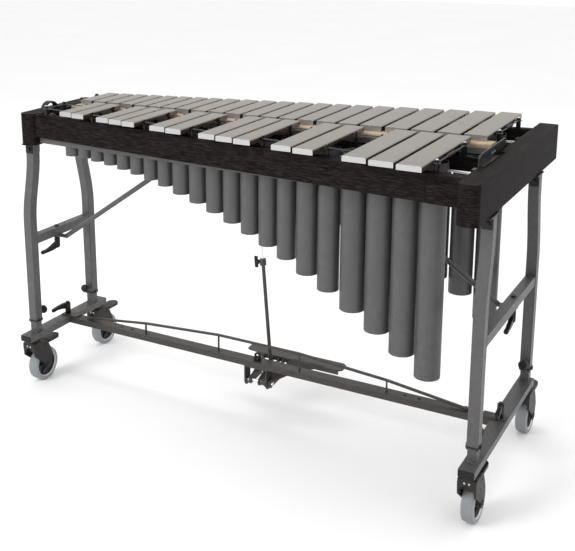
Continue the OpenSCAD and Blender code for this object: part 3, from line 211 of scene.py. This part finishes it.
def bar_material():
    """Champagne anodised aluminium brushed along the bar, with bright sawn ends."""
    s = Shader("bar_anodised", metallic=1.0, Coat_Weight=0.12, Coat_Roughness=0.25)
    streak = s.noise(1.0, detail=4, stretch=(2600, 22, 2600))
    patch = s.noise(5.0, detail=2)
    top = s.mix(streak, (0.190, 0.168, 0.139), (0.250, 0.223, 0.187))
    top = s.mix(s.span(patch, 0.0, 0.35), top, (0.275, 0.25, 0.214))
    facing = s.node("ShaderNodeSeparateXYZ", Vector=s.node("ShaderNodeNewGeometry").outputs["Normal"])
    end = s.math("GREATER_THAN", s.math("ABSOLUTE", facing.outputs["Y"]), 0.8)
    saw = s.noise(1.0, detail=3, stretch=(240, 50, 2600))
    s.colour(s.mix(end, top, s.mix(saw, (0.40, 0.40, 0.40), (0.56, 0.56, 0.56))))
    s.roughness(s.span(streak, 0.27, 0.40))
    s.bump(streak, 0.12, 0.0002)
    return s.material


def wood_material(name, along):
    """Dark stained hardwood with its grain along one axis, under a satin lacquer."""
    s = Shader(name, Specular_IOR_Level=0.10, IOR=1.15, Coat_Weight=0.03, Coat_Roughness=0.12)
    fine = (9, 420, 420) if along == "x" else (70, 9, 420)
    broad = (2.2, 60, 60) if along == "x" else (60, 2.2, 60)
    pores = s.noise(1.0, detail=5, stretch=fine, rough=0.65)
    bands = s.noise(1.0, detail=3, stretch=broad)
    dark = s.ramp(bands, [
        (0.3, (0.0035, 0.0026, 0.0027)), (0.5, (0.0085, 0.0066, 0.0066)), (0.7, (0.0048, 0.0036, 0.0036)),
    ])
    s.colour(s.mix(s.span(pores, 0.0, 0.8, 0.45, 0.68), dark, (0.034, 0.0275, 0.026)))
    s.roughness(s.span(pores, 0.42, 0.62))
    s.bump(pores, 0.22, 0.0004)
    s.bump(bands, 0.10, 0.001)
    return s.material


def hammered_material(name, low, high, fleck, rough=0.42):
    """Powder coat with a hammered surface and fine metallic flecks."""
    s = Shader(name, metallic=0.25, Specular_IOR_Level=0.3, Coat_Weight=0.05, Coat_Roughness=0.3)
    dimple = s.cells(420)
    mottled = s.mix(s.noise(60, detail=3), low, high)
    spark = s.math("GREATER_THAN", s.noise(2600, detail=0), 0.69)
    s.colour(s.mix(s.math("MULTIPLY", spark, 0.55), mottled, fleck))
    s.roughness(s.span(s.noise(90, detail=2), rough - 0.06, rough + 0.10))
    s.bump(dimple, 0.25, 0.0004)
    s.bump(s.noise(1500, detail=2), 0.10, 0.0002)
    return s.material


def plastic_material(name, tone, rough=0.42, grain=900):
    s = Shader(name, Specular_IOR_Level=0.28)
    low = tuple(c * 0.8 for c in tone)
    high = tuple(c * 1.35 for c in tone)
    s.colour(s.mix(s.noise(45, detail=4), low, high))
    s.roughness(s.span(s.noise(120, detail=3), rough - 0.07, rough + 0.10))
    s.bump(s.noise(grain, detail=2), 0.14, 0.0003)
    return s.material


def steel_material(name, tone, rough=0.2, stretch=(900, 900, 30)):
    s = Shader(name, metallic=1.0)
    streak = s.noise(1.0, detail=3, stretch=stretch)
    low = tuple(c * 0.86 for c in tone)
    s.colour(s.mix(streak, low, tone))
    s.roughness(s.span(streak, rough, rough + 0.14))
    s.bump(streak, 0.06, 0.0002)
    return s.material


def felt_material():
    """Pressed wool felt: matted fibres, a little uneven in colour."""
    s = Shader("felt_wool", Specular_IOR_Level=0.2, Sheen_Weight=0.15, Sheen_Roughness=0.45)
    fibre = s.noise(1.0, detail=6, stretch=(700, 900, 900), rough=0.7)
    cloud = s.noise(70, detail=4)
    tone = s.ramp(cloud, [
        (0.3, (0.27, 0.20, 0.135)), (0.55, (0.35, 0.265, 0.185)), (0.75, (0.41, 0.32, 0.235)),
    ])
    s.colour(s.mix(s.span(fibre, 0.0, 0.55, 0.4, 0.7), tone, (0.48, 0.39, 0.30)))
    s.roughness(s.span(fibre, 0.85, 0.98))
    s.bump(fibre, 0.55, 0.0012)
    s.bump(cloud, 0.3, 0.002)
    return s.material


TREAD_EDGE = 0.0488
BEAD_OUTER = 0.0385
BEAD_INNER = 0.0366


def tyre_material(name, y, z):
    """Grey tread, a pale bead line and a dark moulded hub, told apart by the distance from the axle."""
    s = Shader(name)
    at = s.node("ShaderNodeSeparateXYZ", Vector=s.place)
    dy = s.math("SUBTRACT", at.outputs["Y"], y)
    dz = s.math("SUBTRACT", at.outputs["Z"], z)
    far = s.math("SQRT", s.math("ADD", s.math("MULTIPLY", dy, dy), s.math("MULTIPLY", dz, dz)))
    scuff = s.noise(38, detail=5, rough=0.6)
    tread = s.mix(scuff, (0.20, 0.215, 0.23), (0.31, 0.325, 0.34))
    worn = s.mix(scuff, (0.15, 0.16, 0.165), (0.26, 0.27, 0.28))
    tread = s.mix(s.math("GREATER_THAN", far, TREAD_EDGE), tread, worn)
    hub = s.mix(s.noise(60, detail=3), (0.018, 0.017, 0.017), (0.036, 0.034, 0.033))
    side = s.mix(s.math("GREATER_THAN", far, BEAD_INNER), hub, (0.72, 0.73, 0.74))
    s.colour(s.mix(s.math("GREATER_THAN", far, BEAD_OUTER), side, tread))
    s.roughness(s.span(scuff, 0.48, 0.72))
    s.bump(s.noise(700, detail=3), 0.16, 0.0004)
    return s.material


def rubber_material():
    s = Shader("belt_black")
    s.colour(s.mix(s.noise(200, detail=4), (0.010, 0.010, 0.010), (0.024, 0.024, 0.024)))
    s.roughness(s.span(s.noise(300), 0.6, 0.8))
    s.bump(s.noise(1800), 0.2, 0.0002)
    return s.material


def cord_material():
    s = Shader("cord_braid", Sheen_Weight=0.25, Sheen_Roughness=0.5)
    strand = s.noise(1.0, detail=3, stretch=(1600, 2600, 2600))
    s.colour(s.mix(strand, (0.008, 0.008, 0.009), (0.035, 0.034, 0.034)))
    s.roughness(s.span(strand, 0.6, 0.85))
    s.bump(strand, 0.5, 0.0003)
    return s.material


# ---------------------------------------------------------------- mesh helpers

def piece(name, verts, faces, material, body, smooth=True):
    mesh = bpy.data.meshes.new(name)
    mesh.from_pydata([tuple(v) for v in verts], [], faces)
    mesh.update()
    if smooth:
        mesh.shade_smooth()
    obj = bpy.data.objects.new(name, mesh)
    scene.collection.objects.link(obj)
    mesh.materials.append(material)
    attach(obj, body)
    return obj


def join_data(parts):
    """One list of points and faces from several."""
    verts, faces = [], []
    for v, f in parts:
        start = len(verts)
        verts += list(v)
        faces += [tuple(i + start for i in face) for face in f]
    return verts, faces


def swept(path, ring):
    """A tube: ring(k) gives the offsets of ring k from path[k], and both ends are closed."""
    verts, faces = [], []
    for k, centre in enumerate(path):
        offsets = ring(k)
        verts += [Vector(centre) + o for o in offsets]
    n = len(offsets)
    for k in range(len(path) - 1):
        a = k * n
        faces += [(a + i, a + (i + 1) % n, a + n + (i + 1) % n, a + n + i) for i in range(n)]
    faces.append(tuple(range(n))[::-1])
    faces.append(tuple(range((len(path) - 1) * n, len(path) * n)))
    return verts, faces


def round_wire(path, r, sides=10):
    """A round wire along a list of points."""
    def ring(k):
        a = Vector(path[max(k - 1, 0)])
        b = Vector(path[min(k + 1, len(path) - 1)])
        d = (b - a).normalized()
        side = d.orthogonal() if abs(d.z) > 0.99 else d.cross(Vector((0, 0, 1)))
        side.normalize()
        other = d.cross(side)
        turns = [2 * math.pi * i / sides for i in range(sides)]
        return [(side * math.cos(t) + other * math.sin(t)) * r for t in turns]
    return swept(path, ring)


def turned(profile, origin, axis, steps=32):
    """A lathe-turned solid: profile holds (distance along the axis, radius)."""
    axis = Vector(axis).normalized()
    side = axis.orthogonal().normalized()
    other = axis.cross(side)
    path = [Vector(origin) + axis * h for h, _ in profile]

    def ring(k):
        r = max(profile[k][1], 1e-5)
        turns = [2 * math.pi * i / steps for i in range(steps)]
        return [(side * math.cos(t) + other * math.sin(t)) * r for t in turns]
    return swept(path, ring)


def soft_edges(node, width, angle=35, segments=2):
    """Rounds the sharp edges of a CAD node by modifiers only."""
    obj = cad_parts[node]
    weld = obj.modifiers.new("weld", "WELD")
    weld.merge_threshold = 0.00001
    bevel = obj.modifiers.new("edges", "BEVEL")
    bevel.width = width
    bevel.segments = segments
    bevel.limit_method = "ANGLE"
    bevel.angle_limit = math.radians(angle)
    bevel.use_clamp_overlap = True
    bevel.harden_normals = True


def paint(material, *nodes):
    for node in nodes:
        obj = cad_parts[node]
        if not obj.material_slots:
            obj.data.materials.append(material)
        for s in obj.material_slots:
            s.material = material


# ---------------------------------------------------------------- the object

make_camera()
make_studio()

BAR = bar_material()
WOOD_X = wood_material("stained_wood_rail", "x")
WOOD_Y = wood_material("stained_wood_board", "y")
FRAME_PAINT = hammered_material(
    "hammered_grey", (0.056, 0.054, 0.055), (0.092, 0.089, 0.090), (0.42, 0.41, 0.41)
)
BASE_PAINT = hammered_material(
    "hammered_brown", (0.032, 0.028, 0.026), (0.054, 0.048, 0.045), (0.28, 0.26, 0.24)
)
TUBE_PAINT = hammered_material(
    "textured_grey", (0.058, 0.058, 0.059), (0.090, 0.090, 0.092), (0.36, 0.36, 0.37), 0.40
)
HOUSING = plastic_material("housing_dark", (0.014, 0.012, 0.011), 0.45)
BLACK = plastic_material("moulded_black", (0.0045, 0.0045, 0.0045), 0.36)
BLACK_STEEL = plastic_material("black_oxide", (0.008, 0.008, 0.008), 0.34, 1500)
STEEL = steel_material("bright_steel", (0.80, 0.81, 0.82))
DARK_WIRE = steel_material("dark_spring_wire", (0.07, 0.07, 0.07), 0.35)
DULL = steel_material("dull_aluminium", (0.30, 0.30, 0.31), 0.38, (30, 900, 900))
FAN = steel_material("fan_aluminium", (0.62, 0.63, 0.64), 0.3)
FELT = felt_material()
RUBBER = rubber_material()
CORD = cord_material()

NAMES = list(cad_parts)
paint(BAR, *[n for n in NAMES if n.endswith("_bars_low") or n.endswith("_bars_high")])
paint(WOOD_Y, "end_boards")
paint(WOOD_X, "front_rail", "rear_rail", "centre_rails")
paint(FRAME_PAINT, "end_frames", "feet", "diagonal_braces")
paint(BASE_PAINT, "crossbar", "truss_rod", "pedal_bracket", "pedal", "damper_rod_tube")
paint(TUBE_PAINT, "natural_resonators", "accidental_resonators", "resonator_stoppers", "resonator_rails")
paint(BLACK_STEEL, "leg_top_brackets", "frame_bolts", "damper_guides", "pulley_guard")
paint(BLACK, "bar_posts", "rod_wing_screw", "bracket_knob", "shaft_bearings", "motor")
paint(BLACK, *[n for n in NAMES if "clamp" in n or n.startswith(("height_knob", "caster_brake"))])
paint(HOUSING, *[n for n in NAMES if n.startswith("caster_fork")])
paint(STEEL, "pedal_axle", "damper_rod_upper")
paint(FAN, "natural_fan_shaft", "accidental_fan_shaft", "motor_pulley")
paint(DULL, "damper_bar")
paint(RUBBER, "drive_belts")

for node in NAMES:
    if node.endswith("_bars_low") or node.endswith("_bars_high"):
        soft_edges(node, 0.7 * MM, 50)
    elif node.startswith("caster_wheel"):
        y = (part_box(node)[0].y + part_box(node)[1].y) / 2
        z = (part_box(node)[0].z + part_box(node)[1].z) / 2
        paint(tyre_material("tyre_" + node[13:], y, z), node)
for node in ("end_boards", "front_rail", "rear_rail", "centre_rails"):
    soft_edges(node, 1.5 * MM)
for node in ("end_frames", "feet", "crossbar", "pedal", "pedal_bracket", "leg_top_brackets"):
    soft_edges(node, 1.0 * MM)
for node in NAMES:
    if "clamp" in node or node.startswith(("height_knob", "caster_fork", "caster_brake")):
        soft_edges(node, 0.9 * MM)
for node in ("bracket_knob", "rod_wing_screw", "truss_rod", "diagonal_braces"):
    soft_edges(node, 0.8 * MM)


def natural_near(x):
    """The line that the natural bars' near ends follow, as in the CAD."""
    return -0.025 + 0.059 * x


def natural_far(x):
    return 0.1977 + 0.221 * x


def accidental_near(x):
    return -0.289 - 0.119 * x


def accidental_far(x):
    return natural_near(x) - 0.020


def part_way(near, far, share):
    return lambda x: near(x) * (1 - share) + far(x) * share


CORD_LINES = [
    part_way(natural_near, natural_far, 0.224), part_way(natural_near, natural_far, 0.776),
    part_way(accidental_near, accidental_far, 0.224), part_way(accidental_near, accidental_far, 0.776),
]


def quarter_turn(cx, cy, r, start):
    """Four points of a quarter circle."""
    turns = [math.radians(start + a) for a in (0, 30, 60, 90)]
    return [(cx + r * math.cos(t), cy + r * math.sin(t)) for t in turns]


def make_felt():
    """The damper's felt: a matted strip with rounded edges, a slightly uneven top and loose fibres."""
    low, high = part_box("damper_felt")
    half, z0, z1 = 0.023, low.z, high.z
    steps, r = 480, 0.003
    section = []
    corners = ((-half + r, z0 + r, 180), (half - r, z0 + r, 270), (half - r, z1 - r, 0), (-half + r, z1 - r, 90))
    for cy, cz, start in corners:
        section += quarter_turn(cy, cz, r, start)
        if cy < 0 and start == 90:
            continue
        if start in (0,):
            section += [(half * (0.7 - 0.35 * k), z1) for k in range(5)]
    path = [Vector((low.x + 0.001 + (high.x - low.x - 0.002) * k / steps, 0, 0)) for k in range(steps + 1)]

    def ring(k):
        x = path[k].x
        y = natural_near(x) - 0.010
        out = []
        for sy, sz in section:
            n = noise.noise(Vector((x * 130, sy * 160, sz * 160)))
            n += 0.6 * noise.noise(Vector((x * 420, sy * 420, sz * 420)))
            pull = 1 - 0.018 * (1 + n)
            drop = 0.00035 * (1 + n) if sz > z0 + 0.006 else 0
            out.append(Vector((0, y + sy * pull, sz - drop)))
        return out

    strip = swept(path, ring)
    rng = random.Random(7)
    hairs = []
    for _ in range(7000):
        x = rng.uniform(low.x + 0.002, high.x - 0.002)
        side = rng.choice((-1, 1, 0, 0))
        y = natural_near(x) - 0.010 + (side * (half - 0.0008) if side else rng.uniform(-half, half) * 0.95)
        z = rng.uniform(z0 + 0.001, z1 - 0.001) if side else z1 - 0.0006
        length = rng.uniform(0.0008, 0.0022)
        along = rng.uniform(-1, 1)
        across = side * rng.uniform(0.2, 0.6) if side else rng.uniform(-1, 1)
        lean = Vector((along, across, rng.uniform(0.05, 0.25))).normalized()
        if not side:
            lean.z *= 0.3
        wide = lean.orthogonal().normalized() * 0.00005
        base = Vector((x, y, z))
        hairs.append(([base - wide, base + wide, base + lean * length], [(0, 1, 2)]))
    verts, faces = join_data([strip] + hairs)
    felt = piece("damper_felt_strip", verts, faces, FELT, "damper")
    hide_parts("damper_felt")


DRUM_LEFT = -0.592
ROWS = [(CORD_LINES[0], CORD_LINES[1], 0.603), (CORD_LINES[2], CORD_LINES[3], 0.570)]
CORD_Z = 0.8415
DRUM_R = 0.0061
LOOP_R = 0.0070
SPRING_HALF = 0.024


def rope(a, b, r=0.0015):
    """A straight run of twisted three-strand cord."""
    a, b = Vector(a), Vector(b)
    d = (b - a).normalized()
    side = d.cross(Vector((0, 0, 1))).normalized()
    other = d.cross(side)
    steps = max(int((b - a).length / 0.0014), 8)

    def ring(k):
        out = []
        for i in range(12):
            t = 2 * math.pi * i / 12
            lobe = r * (0.86 + 0.14 * math.cos(3 * (t - k * 0.42)))
            out.append(side * math.cos(t) * lobe + other * math.sin(t) * lobe)
        return out
    return swept([a + (b - a) * (k / steps) for k in range(steps + 1)], ring)


def loop_round(x, y):
    """One turn of the cord round a drum."""
    turns = [2 * math.pi * k / 32 for k in range(33)]
    path = [Vector((x + LOOP_R * math.cos(t), y + LOOP_R * math.sin(t), CORD_Z)) for t in turns]
    return round_wire(path, 0.0014)


def make_cords():
    """Both looped cords: the runs through the bars, the turns round the drums and the crossings."""
    parts = []
    for near, far, right in ROWS:
        for line in (near, far):
            x0, x1 = DRUM_LEFT + DRUM_R, right - DRUM_R
            parts.append(rope((x0, line(x0), CORD_Z), (x1, line(x1), CORD_Z)))
            parts += [loop_round(x, line(x)) for x in (DRUM_LEFT, right)]
        middle = (near(right) + far(right)) / 2
        for x, y0, y1 in (
            (DRUM_LEFT, near(DRUM_LEFT) + DRUM_R, far(DRUM_LEFT) - DRUM_R),
            (right, near(right) + DRUM_R, middle - SPRING_HALF),
            (right, middle + SPRING_HALF, far(right) - DRUM_R),
        ):
            parts.append(rope((x, y0, CORD_Z), (x, y1, CORD_Z)))
    verts, faces = join_data(parts)
    cords = piece("suspension_cord_rope", verts, faces, CORD, "upper_frame")
    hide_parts("suspension_cord")


def make_drum_screws():
    """A bright screw head on each drum."""
    head = [
        (0, 0.0036), (0.0009, 0.0036), (0.0017, 0.0028), (0.0020, 0.0014), (0.0011, 0.0009), (0.0010, 0.0001),
    ]
    parts = []
    for near, far, right in ROWS:
        for x in (DRUM_LEFT, right):
            for line in (near, far):
                parts.append(turned(head, (x, line(x), 0.8484), (0, 0, 1), 24))
    verts, faces = join_data(parts)
    piece("drum_screws", verts, faces, STEEL, "upper_frame", smooth=False)


def coil_data(a, b, r, wire, turns, steps_per_turn=16, sides=6, hooks=False):
    """Points and faces of a coil spring wound from a to b."""
    a, b = Vector(a), Vector(b)
    axis = (b - a).normalized()
    side = axis.orthogonal().normalized()
    other = axis.cross(side)
    count = turns * steps_per_turn
    path = []
    if hooks:
        path.append(a - axis * 0.0025)
    for k in range(count + 1):
        t = 2 * math.pi * k / steps_per_turn
        path.append(a + (b - a) * (k / count) + (side * math.cos(t) + other * math.sin(t)) * r)
    if hooks:
        path.append(b + axis * 0.0012)
    return round_wire(path, wire, sides)


def make_springs():
    """The tension springs on the cords and the two return springs under the damper."""
    parts = []
    for near, far, right in ROWS:
        middle = (near(right) + far(right)) / 2
        ends = [(right, middle + side * (SPRING_HALF - 0.0012), CORD_Z) for side in (-1, 1)]
        parts.append(coil_data(*ends, 0.0032, 0.0009, 20, 20, 8, hooks=True))
    verts, faces = join_data(parts)
    tension = piece("cord_springs_coils", verts, faces, DARK_WIRE, "upper_frame")
    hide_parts("cord_springs")
    low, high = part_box("damper_springs")
    parts = []
    for x in (-0.5, 0.5):
        y = natural_near(x) - 0.010
        parts.append(coil_data((x, y, low.z + 0.0011), (x, y, high.z - 0.0011), 0.006, 0.0009, 6, 24, 8))
    verts, faces = join_data(parts)
    coils = piece("damper_springs_coils", verts, faces, STEEL, "upper_frame")
    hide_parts("damper_springs")
    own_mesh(coils)


def bead_data(corners, r, ripple, seed):
    """A weld bead along a closed run of corners."""
    path = []
    closed = corners + corners[:1]
    for a, b in zip(closed, closed[1:]):
        a, b = Vector(a), Vector(b)
        n = max(int((b - a).length / 0.0011), 2)
        path += [a + (b - a) * (k / n) for k in range(n)]
    path.append(Vector(corners[0]))
    rng = random.Random(seed)
    swell = [rng.uniform(0.8, 1.15) for _ in path]

    def ring(k):
        a, b = path[max(k - 1, 0)], path[min(k + 1, len(path) - 1)]
        d = (b - a).normalized()
        side = d.cross(Vector((0, 0, 1)))
        side = side.normalized() if side.length > 0.1 else Vector((1, 0, 0))
        other = d.cross(side)
        q = r * swell[k] * (1 + ripple * math.sin(k * 1.6))
        turns = [2 * math.pi * i / 8 for i in range(8)]
        return [(side * math.cos(t) + other * math.sin(t)) * q for t in turns]
    return swept(path, ring)


# The middle of each leg.
LEGS = [(0.676, -0.262), (0.676, 0.196), (-0.676, -0.187), (-0.676, 0.077)]


def make_welds():
    foot_top = 0.160
    h = 0.0112
    beads = []
    for k, (x, y) in enumerate(LEGS):
        corners = [(x + a * h, y + b * h, foot_top) for a, b in ((-1, -1), (1, -1), (1, 1), (-1, 1))]
        beads.append(bead_data(corners, 0.0024, 0.16, k))
    verts, faces = join_data(beads)
    piece("stub_welds", verts, faces, FRAME_PAINT, "base")
    beads = []
    for k, (side, y0, y1) in enumerate(((0.676, -0.2485, 0.1825), (-0.676, -0.1735, 0.0635))):
        for y in (y0, y1):
            z0, z1, w = 0.431, 0.456, 0.0125
            corners = [(side - w, y, z0), (side + w, y, z0), (side + w, y, z1), (side - w, y, z1)]
            beads.append(bead_data(corners, 0.0017, 0.15, 10 + k))
    verts, faces = join_data(beads)
    piece("cross_tube_welds", verts, faces, FRAME_PAINT, "upper_frame")


FOOT_MIDDLE = 0.151


def make_foot_caps():
    """Moulded plugs in the ends of the foot bars, with a rim that follows the tube."""
    parts = []
    for x, y, out in ((0.676, -0.313, -1), (0.676, 0.215, 1), (-0.676, -0.234, -1), (-0.676, 0.124, 1)):
        def outline(inset, depth):
            w, h, r = 0.0185 - inset, 0.0086 - inset, 0.003
            ring = []
            corners = ((w - r, h - r, 0), (r - w, h - r, 90), (r - w, r - h, 180), (w - r, r - h, 270))
            for cx, cz, start in corners:
                turn = quarter_turn(x + cx, FOOT_MIDDLE + cz, r, start)
                ring += [Vector((px, y + out * depth, pz)) for px, pz in turn]
            return ring
        steps = ((0, -0.0005), (0, 0.0016), (0.0008, 0.0024), (0.003, 0.0026), (0.0036, 0.0020))
        rings = [outline(inset, depth) for inset, depth in steps]
        verts = [v for ring in rings for v in ring]
        n = len(rings[0])
        faces = [
            (a * n + i, a * n + (i + 1) % n, (a + 1) * n + (i + 1) % n, (a + 1) * n + i)
            for a in range(len(rings) - 1) for i in range(n)
        ]
        faces += [tuple(range(n))[::-1], tuple(range(4 * n, 5 * n))]
        parts.append((verts, faces))
    verts, faces = join_data(parts)
    piece("foot_end_caps", verts, faces, BLACK, "base", smooth=False)


def make_leg_clips():
    """A sprung band round the mouth of each leg, with a pad on both sides."""
    parts = []
    z = 0.1975
    for x, y in LEGS:
        h = 0.0152
        corner = 0.003
        path = []
        for cx, cy, start in ((h, h, 0), (-h, h, 90), (-h, -h, 180), (h, -h, 270)):
            cx -= math.copysign(corner, cx)
            cy -= math.copysign(corner, cy)
            path += [Vector((px, py, z)) for px, py in quarter_turn(x + cx, y + cy, corner, start)]
        path.append(path[0].copy())
        parts.append(round_wire(path, 0.0011, 8))
        for side in (-1, 1):
            grip = [(0, 0.0001), (0.0002, 0.0042), (0.0022, 0.0050), (0.0036, 0.0042), (0.0041, 0.0001)]
            parts.append(turned(grip, (x + side * (h - 0.001), y, z - 0.001), (side, 0, 0), 24))
    verts, faces = join_data(parts)
    piece("leg_clips", verts, faces, BLACK_STEEL, "upper_frame")


# The stem of each caster.
STEMS = {
    "front_right": (0.676, -0.283), "back_right": (0.676, 0.185),
    "front_left": (-0.676, -0.204), "back_left": (-0.676, 0.094),
}
TRAIL = 0.038
AXLE_Z = 0.05


# Along a hub rib: the distance from the axle, half the width at the root and the depth.
RIB_STEPS = ((0.0125, 0.0016, 0.0145), (0.022, 0.0012, 0.0105), (0.0335, 0.0012, 0.0085))


def make_caster_details():
    """Two screws at the front of each housing, a nut on each axle end and ribs in each hub."""
    for key, (x, y) in STEMS.items():
        parts = []
        for side in (-1, 1):
            head = [
                (0, 0.0026), (0.0008, 0.0026), (0.0015, 0.0020), (0.0017, 0.0012), (0.0008, 0.0006), (0.0007, 0.0001),
            ]
            parts.append(turned(head, (x + side * 0.0055, y - 0.0199, 0.123), (0, -1, 0.1), 20))
            nut = [
                (0, 0.0052), (0.0016, 0.0052), (0.0021, 0.0046), (0.0022, 0.0024), (0.0030, 0.0022), (0.0031, 0.0001),
            ]
            parts.append(turned(nut, (x + side * 0.0206, y + TRAIL, AXLE_Z), (side, 0, 0), 6))
        verts, faces = join_data(parts)
        piece("caster_screws_" + key, verts, faces, STEEL, "fork_" + key, smooth=False)
        ribs = []
        centre = Vector((x, y + TRAIL, AXLE_Z))
        for side in (-1, 1):
            for k in range(6):
                t = 2 * math.pi * k / 6
                out = Vector((0, math.cos(t), math.sin(t)))
                across = Vector((0, -math.sin(t), math.cos(t)))
                deep = Vector((side, 0, 0))
                rib = []
                for reach, w, d in RIB_STEPS:
                    p = centre + out * reach
                    rib += [
                        p + across * w + deep * 0.005, p + across * w * 0.7 + deep * d,
                        p - across * w * 0.7 + deep * d, p - across * w + deep * 0.005,
                    ]
                faces = [(a + i, a + (i + 1) % 4, a + 4 + (i + 1) % 4, a + 4 + i) for a in (0, 4) for i in range(4)]
                faces += [(3, 2, 1, 0), (8, 9, 10, 11)]
                ribs.append((rib, faces))
        verts, faces = join_data(ribs)
        piece("hub_ribs_" + key, verts, faces, HOUSING, "wheel_" + key, smooth=False)


make_felt()
make_cords()
make_drum_screws()
make_springs()
make_welds()
make_foot_caps()
make_leg_clips()
make_caster_details()
